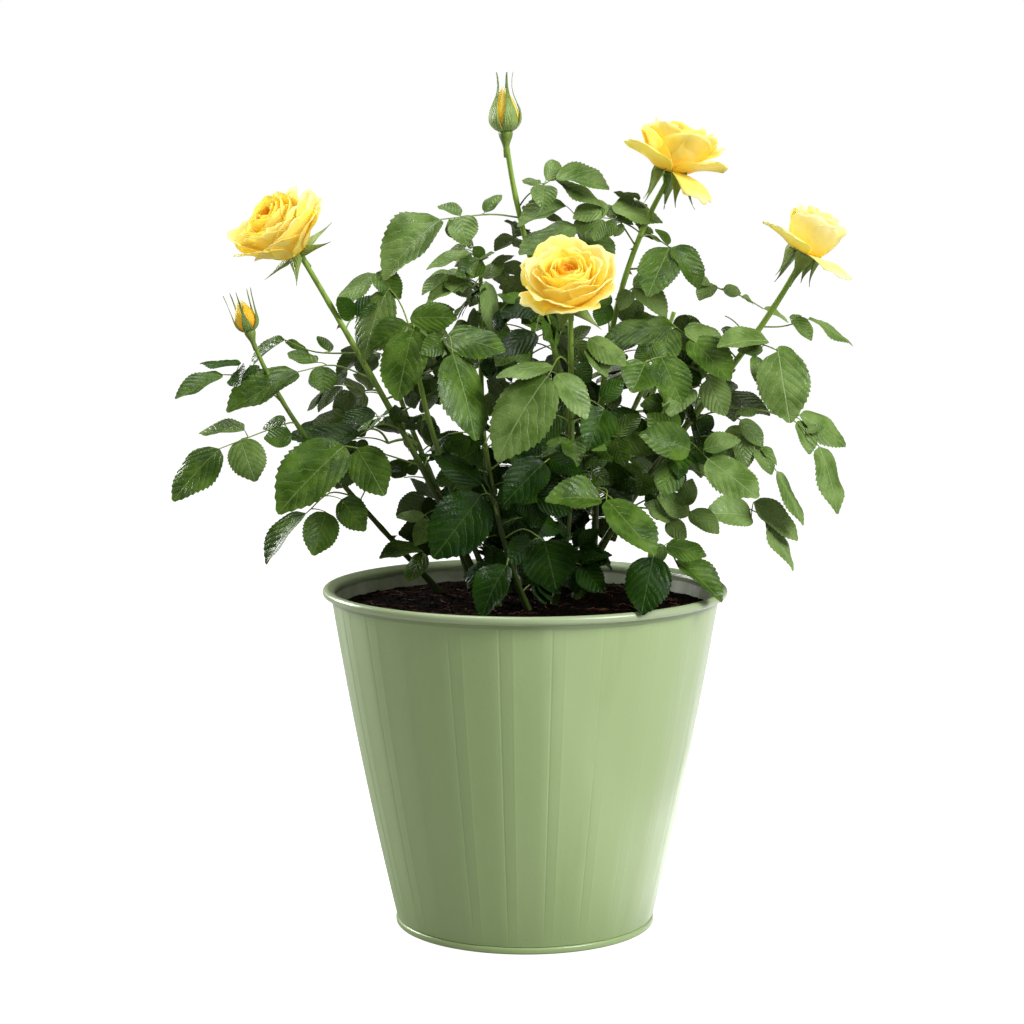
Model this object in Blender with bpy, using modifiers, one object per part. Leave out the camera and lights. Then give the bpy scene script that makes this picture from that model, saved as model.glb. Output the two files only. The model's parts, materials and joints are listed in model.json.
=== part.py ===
"""A rose bush in a painted steel pot.

The pot is a rolled sheet-steel wall of flat panels, a beaded rim and a hemmed base. Compost fills it
nearly to the rim. Green canes rise from the compost, some to a bloom or a bud and some to leaves only.
Foliage is a set of closed, uneven masses: thin sprays that leave a cane at a stated height, and fuller
masses in the heart of the bush. Metres, +Z up, origin at the middle of the pot's flat underside.
"""

import math
from collections import namedtuple

import bmesh
import bpy
from mathutils import Matrix, Vector, geometry, noise

# ---------------------------------------------------------------- pot
POT_HEIGHT = 0.210
RIM_RADIUS = 0.125
HEM_RADIUS = 0.0812
SHEET = 0.0012
PANELS = 24
ROUND_STEPS = 48
GAP = 0.0003

HEM_HEIGHT = 0.0042
HEM_WIDTH = 0.0040
HEM_ROUND = 0.0010
RIM_HEIGHT = 0.0080
RIM_WIDTH = 0.0046
RIM_LIP = 0.0022
RIM_ROUND = 0.0026
WALL_FOOT_RADIUS = HEM_RADIUS - 0.0006
WALL_TOP_RADIUS = RIM_RADIUS - RIM_WIDTH
WALL_BELLY = 0.0020
WALL_BANDS = 3
WALL_FOOT_Z = HEM_HEIGHT + GAP
WALL_TOP_Z = POT_HEIGHT - 0.0032
PANEL_TURN = math.radians(180 / PANELS)

# ---------------------------------------------------------------- compost
COMPOST_FLAT_Z = 0.2025
COMPOST_EDGE_Z = 0.1985
COMPOST_FLAT_RADIUS = 0.092

# ---------------------------------------------------------------- canes
# A cane is one smooth curve. It leaves its foot on the compost along rise, and arrives at its head
# from the direction of hang. Both are as long as the pull that they have on the curve.
Cane = namedtuple("Cane", "foot rise head hang foot_width head_width")
CANES = {
    "cane_left_low": Cane(
        (-0.053, 0.030), (-0.050, -0.020, 0.060), (-0.165, -0.040, 0.371), (0.020, 0.005, -0.060), 0.0056, 0.0036),
    "cane_left": Cane(
        (-0.024, 0.002), (-0.030, 0.000, 0.070), (-0.134, -0.025, 0.415), (0.040, 0.010, -0.070), 0.0062, 0.0042),
    "cane_top_bud": Cane(
        (0.006, 0.038), (0.055, 0.000, 0.095), (-0.012, 0.030, 0.491), (0.010, 0.000, -0.100), 0.0062, 0.0042),
    "cane_front": Cane(
        (0.018, -0.012), (0.015, -0.010, 0.060), (0.027, -0.042, 0.386), (0.000, 0.015, -0.060), 0.0056, 0.0042),
    "cane_top_right": Cane(
        (0.043, 0.036), (0.005, 0.000, 0.085), (0.089, 0.030, 0.463), (-0.050, 0.000, -0.085), 0.0062, 0.0042),
    "cane_right": Cane(
        (0.032, 0.012), (0.030, -0.010, 0.075), (0.166, -0.020, 0.412), (-0.035, 0.015, -0.070), 0.0074, 0.0044),
    "leafy_cane_left": Cane(
        (-0.016, -0.022), (-0.025, -0.005, 0.060), (-0.069, -0.025, 0.377), (0.005, -0.005, -0.060), 0.0046, 0.0028),
    "leafy_cane_middle": Cane(
        (-0.010, 0.030), (-0.020, 0.015, 0.070), (-0.028, 0.050, 0.413), (0.000, 0.010, -0.070), 0.0046, 0.0028),
    "leafy_cane_front": Cane(
        (0.002, -0.034), (-0.015, -0.015, 0.035), (-0.024, -0.052, 0.306), (0.005, 0.000, -0.035), 0.0044, 0.0026),
    "leafy_cane_back_left": Cane(
        (-0.034, 0.052), (-0.016, 0.020, 0.060), (-0.092, 0.098, 0.362), (0.012, -0.010, -0.060), 0.0050, 0.0030),
    "leafy_cane_back_middle": Cane(
        (0.000, 0.066), (-0.008, 0.016, 0.060), (0.006, 0.114, 0.368), (-0.006, -0.014, -0.060), 0.0048, 0.0030),
    "leafy_cane_back_right": Cane(
        (0.026, 0.058), (0.016, 0.016, 0.070), (0.098, 0.104, 0.378), (-0.020, -0.012, -0.060), 0.0050, 0.0030),
}
CANE_SAMPLES = 10
CANE_SIDES_RESOLUTION = 1
FLARE = 0.35
FLARE_SHARE = 0.05

# ---------------------------------------------------------------- blooms and buds
# Each sits on the head of its cane and faces along face.
Bloom = namedtuple("Bloom", "cane face diameter depth")
BLOOMS = {
    "bloom_left": Bloom("cane_left", (-0.52, -0.34, 0.78), 0.063, 0.044),
    "bloom_front": Bloom("cane_front", (-0.10, -0.58, 0.81), 0.060, 0.046),
    "bloom_top_right": Bloom("cane_top_right", (0.24, -0.06, 0.96), 0.062, 0.036),
    "bloom_right": Bloom("cane_right", (0.44, -0.10, 0.89), 0.055, 0.036),
    "bud_top": Bloom("cane_top_bud", (-0.06, -0.02, 1.00), 0.0205, 0.042),
    "bud_left": Bloom("cane_left_low", (-0.06, -0.02, 1.00), 0.0165, 0.027),
}
# (height as a share of the depth, radius as a share of half the diameter), from the top down
BLOOM_PROFILE = ((1.00, 0.00), (0.96, 0.48), (0.82, 0.80), (0.62, 1.00), (0.40, 0.92), (0.22, 0.56), (0.13, 0.18),
                 (0.05, 0.14), (0.00, 0.00))
BUD_PROFILE = ((1.00, 0.00), (0.82, 0.24), (0.58, 0.66), (0.38, 1.00), (0.24, 0.92), (0.16, 0.48), (0.08, 0.50),
               (0.00, 0.00))
BLOOM_STEPS = 10
BUD_STEPS = 8

# ---------------------------------------------------------------- foliage
# A spray is a thin pad of leaves. It leaves its cane at the height leaves_at and reaches to tip, and
# its upper side looks along face. Where leaves_at is a point, the spray carries on from there.
Spray = namedtuple("Spray", "cane leaves_at tip width thickness face")
FRONT = (0.0, -0.72, 0.69)
LEFT_FRONT = (-0.35, -0.62, 0.70)
RIGHT_FRONT = (0.35, -0.62, 0.70)
UPWARD = (0.0, -0.35, 0.94)
SPRAYS = {
    "spray_left_low": Spray("cane_left_low", 0.315, (-0.212, -0.065, 0.279), 0.046, 0.012, FRONT),
    "spray_left_mid": Spray("cane_left_low", 0.328, (-0.209, -0.052, 0.338), 0.038, 0.012, UPWARD),
    "spray_left_inner": Spray("cane_left", 0.342, (-0.178, -0.058, 0.326), 0.038, 0.010, FRONT),
    "spray_left_big": Spray("cane_left", 0.288, (-0.147, -0.090, 0.271), 0.062, 0.014, LEFT_FRONT),
    "spray_left_flat": Spray("cane_left", 0.312, (-0.160, -0.012, 0.312), 0.040, 0.012, UPWARD),
    "spray_left_hanging": Spray("cane_left_low", 0.269, (-0.161, -0.045, 0.240), 0.044, 0.012, FRONT),
    "spray_upper_left": Spray("cane_top_bud", 0.440, (-0.094, -0.010, 0.416), 0.046, 0.012, FRONT),
    "spray_shoulder_left": Spray("leafy_cane_left", 0.366, (-0.119, 0.008, 0.388), 0.052, 0.014, FRONT),
    "spray_front_left": Spray("leafy_cane_left", 0.360, (-0.077, -0.070, 0.331), 0.052, 0.012, FRONT),
    "spray_front_inner_left": Spray("leafy_cane_left", 0.350, (-0.028, -0.092, 0.336), 0.050, 0.012, FRONT),
    "spray_front_centre": Spray("cane_front", 0.350, (-0.024, -0.112, 0.309), 0.052, 0.012, FRONT),
    "spray_front_low_left": Spray("leafy_cane_front", 0.262, (-0.062, -0.104, 0.246), 0.060, 0.012, FRONT),
    "spray_top_right": Spray("cane_top_bud", 0.446, (0.052, 0.018, 0.464), 0.042, 0.014, FRONT),
    "spray_upper_right": Spray("cane_top_right", 0.428, (0.108, -0.020, 0.398), 0.052, 0.012, RIGHT_FRONT),
    "spray_upper_right_long": Spray("cane_top_right", 0.412, (0.172, 0.036, 0.376), 0.032, 0.012, UPWARD),
    "spray_right_top": Spray("cane_right", 0.374, (0.208, 0.020, 0.366), 0.034, 0.012, UPWARD),
    "spray_right_big": Spray("cane_right", 0.354, (0.164, -0.062, 0.322), 0.056, 0.014, RIGHT_FRONT),
    "spray_right_far": Spray("cane_right", 0.325, (0.203, 0.000, 0.306), 0.036, 0.012, FRONT),
    "spray_right_hanging": Spray(None, (0.163, -0.014, 0.304), (0.195, -0.030, 0.264), 0.028, 0.010, RIGHT_FRONT),
    "spray_right_low": Spray("cane_right", 0.296, (0.138, -0.072, 0.276), 0.046, 0.012, RIGHT_FRONT),
    "spray_right_low_far": Spray("cane_right", 0.304, (0.173, -0.030, 0.257), 0.036, 0.012, RIGHT_FRONT),
    "spray_right_bottom": Spray("cane_right", 0.264, (0.170, -0.020, 0.229), 0.042, 0.012, FRONT),
    "spray_rim_right": Spray("cane_right", 0.240, (0.122, -0.066, 0.220), 0.044, 0.010, RIGHT_FRONT),
    "spray_rim_front": Spray("cane_right", 0.233, (0.067, -0.118, 0.221), 0.040, 0.010, FRONT),
    "spray_rim_middle": Spray("leafy_cane_front", 0.236, (-0.029, -0.118, 0.219), 0.034, 0.010, FRONT),
    "spray_front_low_right": Spray("cane_front", 0.276, (0.074, -0.118, 0.252), 0.050, 0.012, FRONT),
}

# A fuller mass, by its middle and its whole size along X, Y and Z.
Mass = namedtuple("Mass", "middle size")
MASSES = {
    "mass_top_left": Mass((-0.028, 0.048, 0.412), (0.078, 0.060, 0.046)),
    "mass_top_centre": Mass((0.040, 0.048, 0.440), (0.104, 0.070, 0.038)),
    "mass_left_inner": Mass((-0.082, 0.014, 0.306), (0.078, 0.066, 0.062)),
    "mass_centre_high": Mass((-0.018, 0.018, 0.374), (0.106, 0.078, 0.058)),
    "mass_centre": Mass((-0.002, -0.034, 0.294), (0.116, 0.092, 0.072)),
    "mass_centre_right": Mass((0.078, -0.012, 0.306), (0.104, 0.100, 0.074)),
    "mass_right_high": Mass((0.100, 0.016, 0.366), (0.112, 0.080, 0.056)),
    "mass_low_middle": Mass((0.012, -0.020, 0.238), (0.104, 0.076, 0.042)),
    "mass_back_left": Mass((-0.092, 0.094, 0.318), (0.136, 0.094, 0.104)),
    "mass_back_right": Mass((0.100, 0.100, 0.326), (0.142, 0.094, 0.116)),
    "mass_back_middle": Mass((0.004, 0.116, 0.352), (0.124, 0.084, 0.110)),
    "mass_back_low": Mass((0.000, 0.080, 0.256), (0.168, 0.090, 0.066)),
}
SEGMENTS = 10
RINGS = 6
LOBES = 5
LOBE_DEPTH = 0.10
SPRAY_UNEVENNESS = 0.24
MASS_UNEVENNESS = 0.55
UNEVEN_SCALE = 1.9
BASE_TAPER = 0.22
ARCH = 0.10
CLEAR_OF_CANE = 0.0025
CARVE_CLEARANCE = 0.0006
WELD = 0.00005

# ---------------------------------------------------------------- materials
Finish = namedtuple("Finish", "colour roughness metallic")
FINISHES = {
    "pot_paint": Finish((0.40, 0.52, 0.33), 0.38, 0.25),
    "compost": Finish((0.045, 0.022, 0.014), 0.95, 0.0),
    "cane": Finish((0.16, 0.27, 0.06), 0.55, 0.0),
    "foliage": Finish((0.05, 0.16, 0.03), 0.45, 0.0),
    "petal": Finish((0.95, 0.66, 0.10), 0.55, 0.0),
}


def clear_scene():
    for obj in list(bpy.data.objects):
        bpy.data.objects.remove(obj)


def make_material(name):
    finish = FINISHES[name]
    material = bpy.data.materials.new(name)
    material.use_nodes = True
    shader = material.node_tree.nodes["Principled BSDF"]
    shader.inputs["Base Color"].default_value = (*finish.colour, 1.0)
    shader.inputs["Roughness"].default_value = finish.roughness
    shader.inputs["Metallic"].default_value = finish.metallic
    return material


def add_object(name, mesh, collection, material):
    """A new object of this mesh, with one material, in the collection."""
    obj = bpy.data.objects.new(name, mesh)
    mesh.materials.clear()
    mesh.materials.append(material)
    collection.objects.link(obj)
    return obj


# ---------------------------------------------------------------- the pot
def arc(centre, radii, start, end, steps):
    """Points of an elliptical arc in the plane of a profile, with its angles in degrees."""
    angles = [math.radians(start + (end - start) * i / steps) for i in range(steps + 1)]
    return [(centre[0] + radii[0] * math.cos(a), centre[1] + radii[1] * math.sin(a)) for a in angles]


def turned(name, profile, closed, steps, collection, material):
    """A turned shape: the profile's (radius, height) points, spun round Z by a Screw modifier."""
    mesh = bpy.data.meshes.new(name)
    count = len(profile)
    edges = [(i, i + 1) for i in range(count - 1)] + ([(count - 1, 0)] if closed else [])
    mesh.from_pydata([(radius, 0.0, height) for radius, height in profile], edges, [])
    obj = add_object(name, mesh, collection, material)
    spin = obj.modifiers.new("spin", "SCREW")
    spin.axis = "Z"
    spin.angle = math.tau
    spin.steps = spin.render_steps = steps
    spin.use_merge_vertices = True
    spin.merge_threshold = 0.00001
    spin.use_smooth_shade = True
    return obj


def wall_radius(height):
    """The outer radius of the wall's creases at a height. The wall bellies out a little between its ends."""
    share = (height - WALL_FOOT_Z) / (WALL_TOP_Z - WALL_FOOT_Z)
    straight = WALL_FOOT_RADIUS + share * (WALL_TOP_RADIUS - WALL_FOOT_RADIUS)
    return straight + WALL_BELLY * 4 * share * (1 - share)


def wall_heights():
    return [WALL_TOP_Z + (WALL_FOOT_Z - WALL_TOP_Z) * i / WALL_BANDS for i in range(WALL_BANDS + 1)]


def make_pot(collection, paint):
    outside = [(wall_radius(z), z) for z in wall_heights()]
    inside = [(radius - SHEET, z) for radius, z in reversed(outside)]
    wall = turned("pot_wall", outside + inside, True, PANELS, collection, paint)
    wall.rotation_euler.z = PANEL_TURN

    # The rim is rolled outwards: widest near its top, and closing on the wall underneath.
    roll = (RIM_RADIUS - RIM_ROUND, POT_HEIGHT - RIM_ROUND)
    under_lip = WALL_TOP_Z + GAP
    turned(
        "pot_rim",
        arc(roll, (RIM_ROUND, RIM_ROUND), 90, -30, 3) + [
            (RIM_RADIUS - 0.3 * RIM_WIDTH, POT_HEIGHT - 0.72 * RIM_HEIGHT),
            (WALL_TOP_RADIUS + 2 * GAP, POT_HEIGHT - RIM_HEIGHT),
            (WALL_TOP_RADIUS + GAP, under_lip),
            (WALL_TOP_RADIUS - RIM_LIP, under_lip),
            (WALL_TOP_RADIUS - RIM_LIP, POT_HEIGHT - 0.0008),
        ],
        True, ROUND_STEPS, collection, paint)

    inner_hem = HEM_RADIUS - HEM_WIDTH
    turned(
        "pot_base",
        [
            (0.0, SHEET),
            (inner_hem, SHEET),
            (inner_hem, HEM_HEIGHT),
            (HEM_RADIUS - HEM_ROUND, HEM_HEIGHT),
            (HEM_RADIUS, HEM_HEIGHT - HEM_ROUND),
            (HEM_RADIUS, HEM_ROUND),
            (HEM_RADIUS - HEM_ROUND, 0.0),
            (0.0, 0.0),
        ],
        False, ROUND_STEPS, collection, paint)


def make_compost(collection, soil):
    """The compost fills the pot. Its top is flat where the canes stand and falls a little to the wall."""
    hem_inside = HEM_RADIUS - HEM_WIDTH - 2 * GAP
    hem_top = HEM_HEIGHT + GAP

    def inside(height):
        return wall_radius(height) - SHEET - 2 * GAP

    middle_heights = [z for z in wall_heights()[1:-1] if z < COMPOST_EDGE_Z]
    compost = turned(
        "compost",
        [
            (0.0, COMPOST_FLAT_Z),
            (COMPOST_FLAT_RADIUS, COMPOST_FLAT_Z),
            (inside(COMPOST_EDGE_Z) - GAP, COMPOST_EDGE_Z),
            *[(inside(z), z) for z in middle_heights],
            (hem_inside, hem_top),
            (hem_inside, SHEET + GAP),
            (0.0, SHEET + GAP),
        ],
        False, PANELS, collection, soil)
    compost.rotation_euler.z = PANEL_TURN


# ---------------------------------------------------------------- canes
def cane_ends(cane):
    """The four points that shape a cane's curve."""
    foot = Vector((*cane.foot, COMPOST_FLAT_Z + GAP))
    head = Vector(cane.head)
    return foot, foot + Vector(cane.rise), head + Vector(cane.hang), head


def cane_path(cane):
    foot, rise, hang, head = cane_ends(cane)
    return geometry.interpolate_bezier(foot, rise, hang, head, CANE_SAMPLES)


def cane_half_width(cane, share):
    """Half the cane's thickness at a share of its length, with the flare at its foot."""
    taper = cane.foot_width + (cane.head_width - cane.foot_width) * share
    return 0.5 * taper * (1 + FLARE * math.exp(-share / FLARE_SHARE))


def cane_point(cane, height):
    """The point of the cane's curve at a height, and the cane's half width there."""
    path = cane_path(cane)
    for i, (low, high) in enumerate(zip(path, path[1:])):
        if low.z <= height <= high.z:
            share = (height - low.z) / (high.z - low.z)
            return low.lerp(high, share), cane_half_width(cane, (i + share) / (len(path) - 1))
    raise ValueError(f"no point of the cane is {height} m high")


def evaluated_mesh(obj, name):
    """The object's mesh as the viewport evaluates it, in world space, and the object removed."""
    graph = bpy.context.evaluated_depsgraph_get()
    mesh = bpy.data.meshes.new_from_object(obj.evaluated_get(graph))
    mesh.transform(obj.matrix_world)
    mesh.name = name
    bpy.data.objects.remove(obj)
    return mesh


def make_cane(name, cane, collection, bark):
    """A tapering tube along the cane's curve, cut flat and level where it stands on the compost."""
    path = cane_path(cane)
    curve = bpy.data.curves.new(name, "CURVE")
    curve.dimensions = "3D"
    curve.bevel_depth = 1.0
    curve.bevel_resolution = CANE_SIDES_RESOLUTION
    curve.use_fill_caps = True
    spline = curve.splines.new("POLY")
    spline.points.add(len(path) - 1)
    for i, (point, place) in enumerate(zip(spline.points, path)):
        point.co = (*place, 1.0)
        point.radius = cane_half_width(cane, i / (len(path) - 1))
    guide = bpy.data.objects.new(name, curve)
    collection.objects.link(guide)
    bpy.context.view_layer.update()
    mesh = evaluated_mesh(guide, name)

    bm = bmesh.new()
    bm.from_mesh(mesh)
    bmesh.ops.remove_doubles(bm, verts=bm.verts, dist=0.00001)
    along = (path[1] - path[0]).normalized()
    for vert in bm.verts:
        if abs((vert.co - path[0]).dot(along)) < 0.0001:
            vert.co += along * ((path[0].z - vert.co.z) / along.z)
    bmesh.ops.recalc_face_normals(bm, faces=bm.faces)
    bm.to_mesh(mesh)
    bm.free()
    return add_object(name, mesh, collection, bark)


# ---------------------------------------------------------------- blooms
def make_bloom(name, bloom, collection, petal):
    """A turned solid of the bloom's or bud's outer shape, from its hip to its petal edges."""
    bud = name.startswith("bud")
    shape = BUD_PROFILE if bud else BLOOM_PROFILE
    profile = [(radius * bloom.diameter / 2, height * bloom.depth) for height, radius in shape]
    obj = turned(name, profile, False, BUD_STEPS if bud else BLOOM_STEPS, collection, petal)
    face = Vector(bloom.face).normalized()
    obj.rotation_mode = "QUATERNION"
    obj.rotation_quaternion = face.to_track_quat("Z", "Y")
    obj.location = Vector(CANES[bloom.cane].head) + face * (CANES[bloom.cane].head_width * 0.6)
    return obj


# ---------------------------------------------------------------- foliage
def uneven_mesh(name, size, seed, lobes, unevenness):
    """A closed, uneven solid of this whole size, with its longest way along X. Lobes stand out round its edge."""
    bm = bmesh.new()
    bmesh.ops.create_uvsphere(bm, u_segments=SEGMENTS, v_segments=RINGS, radius=1.0)
    for vert in bm.verts:
        unit = vert.co.normalized()
        bump = 1 + unevenness * noise.noise(unit * UNEVEN_SCALE + Vector((seed, 0.5 * seed, 0.3)))
        edge = math.hypot(unit.x, unit.y)
        bump += LOBE_DEPTH * edge * math.cos(lobes * math.atan2(unit.y, unit.x))
        vert.co = unit * bump
    low = Vector(min(v.co[i] for v in bm.verts) for i in range(3))
    high = Vector(max(v.co[i] for v in bm.verts) for i in range(3))
    for vert in bm.verts:
        for i in range(3):
            vert.co[i] = ((vert.co[i] - low[i]) / (high[i] - low[i]) - 0.5) * size[i]
    bmesh.ops.triangulate(bm, faces=bm.faces)
    mesh = bpy.data.meshes.new(name)
    bm.to_mesh(mesh)
    bm.free()
    return mesh


def spray_mesh(name, spray, seed):
    """A pad from near the cane to the spray's tip: narrow at its base, and arched a little."""
    tip = Vector(spray.tip)
    if spray.cane:
        start, half_width = cane_point(CANES[spray.cane], spray.leaves_at)
        start += (tip - start).normalized() * (half_width + CLEAR_OF_CANE)
    else:
        start = Vector(spray.leaves_at)
    along = tip - start
    length = along.length
    mesh = uneven_mesh(name, (length, spray.width, spray.thickness), seed, LOBES, SPRAY_UNEVENNESS)
    for vert in mesh.vertices:
        share = 2 * vert.co.x / length
        vert.co.y *= 1 + BASE_TAPER * share
        vert.co.z += ARCH * length * (1 - share * share) * 0.5
    x_axis = along.normalized()
    y_axis = Vector(spray.face).cross(x_axis).normalized()
    z_axis = x_axis.cross(y_axis)
    frame = Matrix((x_axis, y_axis, z_axis)).transposed().to_4x4()
    mesh.transform(Matrix.Translation((start + tip) / 2) @ frame)
    return mesh


def mass_mesh(name, mass, seed):
    mesh = uneven_mesh(name, mass.size, seed, LOBES - 1, MASS_UNEVENNESS)
    mesh.transform(Matrix.Translation(mass.middle))
    return mesh


def swollen(mesh):
    """A copy of the mesh that stands out all round by the clearance that a carved neighbour keeps."""
    copy = mesh.copy()
    normals = [vert.normal.copy() for vert in copy.vertices]
    for vert, normal in zip(copy.vertices, normals):
        vert.co += normal * CARVE_CLEARANCE
    return copy


def box_of(mesh):
    places = [vert.co for vert in mesh.vertices]
    low = Vector(min(p[i] for p in places) for i in range(3))
    high = Vector(max(p[i] for p in places) for i in range(3))
    return low, high


def boxes_meet(first, second):
    return all(first[0][i] < second[1][i] and second[0][i] < first[1][i] for i in range(3))


def largest_piece(bm):
    """Deletes all but the largest piece, where faces that share an edge are of one piece."""
    left = set(bm.faces)
    pieces = []
    while left:
        grown = [left.pop()]
        piece = list(grown)
        while grown:
            for edge in grown.pop().edges:
                for face in edge.link_faces:
                    if face in left:
                        left.discard(face)
                        piece.append(face)
                        grown.append(face)
        pieces.append(piece)
    pieces.sort(key=lambda piece: sum(face.calc_area() for face in piece))
    bmesh.ops.delete(bm, geom=[face for piece in pieces[:-1] for face in piece], context="FACES")


def carve(obj, cutters):
    """Cuts the cutters that its box meets out of a mass, and keeps its largest piece."""
    box = box_of(obj.data)
    for i, cutter in enumerate(cutters):
        if boxes_meet(box, box_of(cutter.data)):
            cut = obj.modifiers.new(f"clear_{i}", "BOOLEAN")
            cut.operation = "DIFFERENCE"
            cut.solver = "MANIFOLD"
            cut.object = cutter
    graph = bpy.context.evaluated_depsgraph_get()
    mesh = bpy.data.meshes.new_from_object(obj.evaluated_get(graph))
    obj.modifiers.clear()
    bm = bmesh.new()
    bm.from_mesh(mesh)
    largest_piece(bm)
    bmesh.ops.triangulate(bm, faces=bm.faces)
    bmesh.ops.remove_doubles(bm, verts=bm.verts, dist=WELD)
    bmesh.ops.dissolve_degenerate(bm, edges=bm.edges, dist=WELD)
    bmesh.ops.triangulate(bm, faces=bm.faces)
    bm.to_mesh(obj.data)
    bm.free()
    bpy.data.meshes.remove(mesh)


def add_cutter(mesh, collection):
    cutter = bpy.data.objects.new("cutter", swollen(mesh))
    cutter.hide_render = True
    cutter.display_type = "WIRE"
    collection.objects.link(cutter)
    return cutter


def make_foliage(firm, collection, cutting, leaf):
    """Each mass in turn, carved clear of the canes, the blooms and the masses made before it."""
    cutters = [add_cutter(mesh, cutting) for mesh in firm]
    shapes = [(name, spray_mesh(name, spray, seed)) for seed, (name, spray) in enumerate(SPRAYS.items())]
    shapes += [(name, mass_mesh(name, mass, seed + len(SPRAYS))) for seed, (name, mass) in enumerate(MASSES.items())]
    for name, mesh in shapes:
        whole = add_cutter(mesh, cutting)
        obj = add_object(name, mesh, collection, leaf)
        bpy.context.view_layer.update()
        carve(obj, cutters)
        cutters.append(whole)


def main():
    clear_scene()
    bush = bpy.data.collections.new("rose_bush")
    cutting = bpy.data.collections.new("cutters")
    for collection in (bush, cutting):
        bpy.context.scene.collection.children.link(collection)
    materials = {name: make_material(name) for name in FINISHES}

    make_pot(bush, materials["pot_paint"])
    make_compost(bush, materials["compost"])
    firm = [make_cane(name, cane, bush, materials["cane"]).data for name, cane in CANES.items()]
    for name, bloom in BLOOMS.items():
        obj = make_bloom(name, bloom, bush, materials["petal"])
        bpy.context.view_layer.update()
        mesh = evaluated_mesh(obj, name)
        firm.append(add_object(name, mesh, bush, materials["petal"]).data)
    make_foliage(firm, bush, cutting, materials["foliage"])


main()
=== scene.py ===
# %% [markdown]
# # A yellow rose bush in a painted steel pot
# The plant is one rooted bush: green canes that rise from the compost, compound leaves on thin stalks,
# four open blooms and two buds. The pot is a tapered bucket of rolled sheet steel in satin sage paint.
# The solid model gives every place and size, so this lesson only makes surfaces around it. A reader
# who is learning Blender meets meshes from arrays, swept curves, copies on points made by Geometry
# Nodes, and materials whose patterns come from nodes.

# %% Load the solid model
import json
import math
import random
from collections import namedtuple

import bmesh
import bpy
import numpy as np
from mathutils import Matrix, Vector, geometry, noise

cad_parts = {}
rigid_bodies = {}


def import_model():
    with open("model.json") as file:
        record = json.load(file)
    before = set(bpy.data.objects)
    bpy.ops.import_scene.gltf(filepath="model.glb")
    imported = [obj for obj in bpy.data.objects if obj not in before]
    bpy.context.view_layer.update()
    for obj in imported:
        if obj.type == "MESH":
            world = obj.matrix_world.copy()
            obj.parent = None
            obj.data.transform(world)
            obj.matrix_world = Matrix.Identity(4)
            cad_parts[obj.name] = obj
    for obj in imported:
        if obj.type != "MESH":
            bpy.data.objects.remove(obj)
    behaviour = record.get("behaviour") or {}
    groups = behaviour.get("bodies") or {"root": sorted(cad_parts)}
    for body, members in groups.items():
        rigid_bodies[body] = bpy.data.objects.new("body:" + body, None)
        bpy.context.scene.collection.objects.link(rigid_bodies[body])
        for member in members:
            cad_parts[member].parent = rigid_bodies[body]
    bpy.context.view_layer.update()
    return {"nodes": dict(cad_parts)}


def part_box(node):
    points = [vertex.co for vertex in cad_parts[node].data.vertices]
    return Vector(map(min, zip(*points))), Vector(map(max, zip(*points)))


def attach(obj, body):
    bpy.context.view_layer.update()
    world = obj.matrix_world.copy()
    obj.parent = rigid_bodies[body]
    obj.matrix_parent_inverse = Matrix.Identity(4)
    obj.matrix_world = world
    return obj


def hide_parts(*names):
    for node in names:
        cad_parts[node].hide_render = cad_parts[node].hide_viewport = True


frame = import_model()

NODES = frame["nodes"]
MM = 0.001
UP = Vector((0.0, 0.0, 1.0))

# %% [markdown]
# ## Camera and studio
# A long lens a little above the rim sees the bush almost level. The studio is plain: a pale floor, an
# even white surround, a large soft lamp high on the right and a weaker one low on the left, so that the
# pot's left third falls into shade. Surround and floor look white to the camera but light the plant less
# than that, which keeps depth between the leaves. On the right the floor gleams in the paint, as a white
# card laid there would.

# %% Camera
LENS_MM = 89.72
CAMERA_PLACE = (-0.0081, -1.573, 0.447)
CAMERA_TILT_DOWN = math.radians(6.83)

camera = bpy.data.objects.new("camera", bpy.data.cameras.new("camera"))
bpy.context.scene.collection.objects.link(camera)
camera.data.lens = LENS_MM
camera.data.clip_end = 200.0
camera.location = CAMERA_PLACE
camera.rotation_euler = (math.pi / 2 - CAMERA_TILT_DOWN, 0.0, 0.0)
bpy.context.scene.camera = camera
print("camera", round(camera.location.length, 2), "m from the pot's foot")

# %% Node helpers
def put(tree, kind, inputs=None, **settings):
    """A new node with its settings and inputs. An input is a value, or another node's output to link."""
    node = tree.nodes.new(kind)
    for name, value in settings.items():
        setattr(node, name, value)
    for key, value in (inputs or {}).items():
        if isinstance(value, bpy.types.NodeSocket):
            tree.links.new(value, node.inputs[key])
        else:
            node.inputs[key].default_value = value
    return node


def maths(tree, operation, first, second=0.0):
    """The output of one Math node."""
    return put(tree, "ShaderNodeMath", {0: first, 1: second}, operation=operation).outputs[0]


def blend(tree, share, first, second):
    """The colour that a Mix node makes of two colours."""
    return put(tree, "ShaderNodeMix", {0: share, 6: first, 7: second}, data_type="RGBA").outputs[2]


def ramped(tree, value, low, high, out_low=0.0, out_high=1.0, smooth=True):
    """A value carried from one range to another, and held at its ends."""
    node = put(tree, "ShaderNodeMapRange", {0: value, 1: low, 2: high, 3: out_low, 4: out_high})
    node.interpolation_type = "SMOOTHSTEP" if smooth else "LINEAR"
    return node.outputs[0]


def rgba(colour):
    """A colour with a full alpha."""
    return (*colour, 1.0)


def place_axes(tree):
    """The x, y and z of the place that is shaded."""
    place = put(tree, "ShaderNodeTexCoord").outputs["Object"]
    return put(tree, "ShaderNodeSeparateXYZ", {0: place}).outputs


def skin_axes(tree):
    """The u and v of the place that is shaded, under X and Y."""
    skin = put(tree, "ShaderNodeUVMap", uv_map="skin").outputs[0]
    return put(tree, "ShaderNodeSeparateXYZ", {0: skin}).outputs


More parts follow.
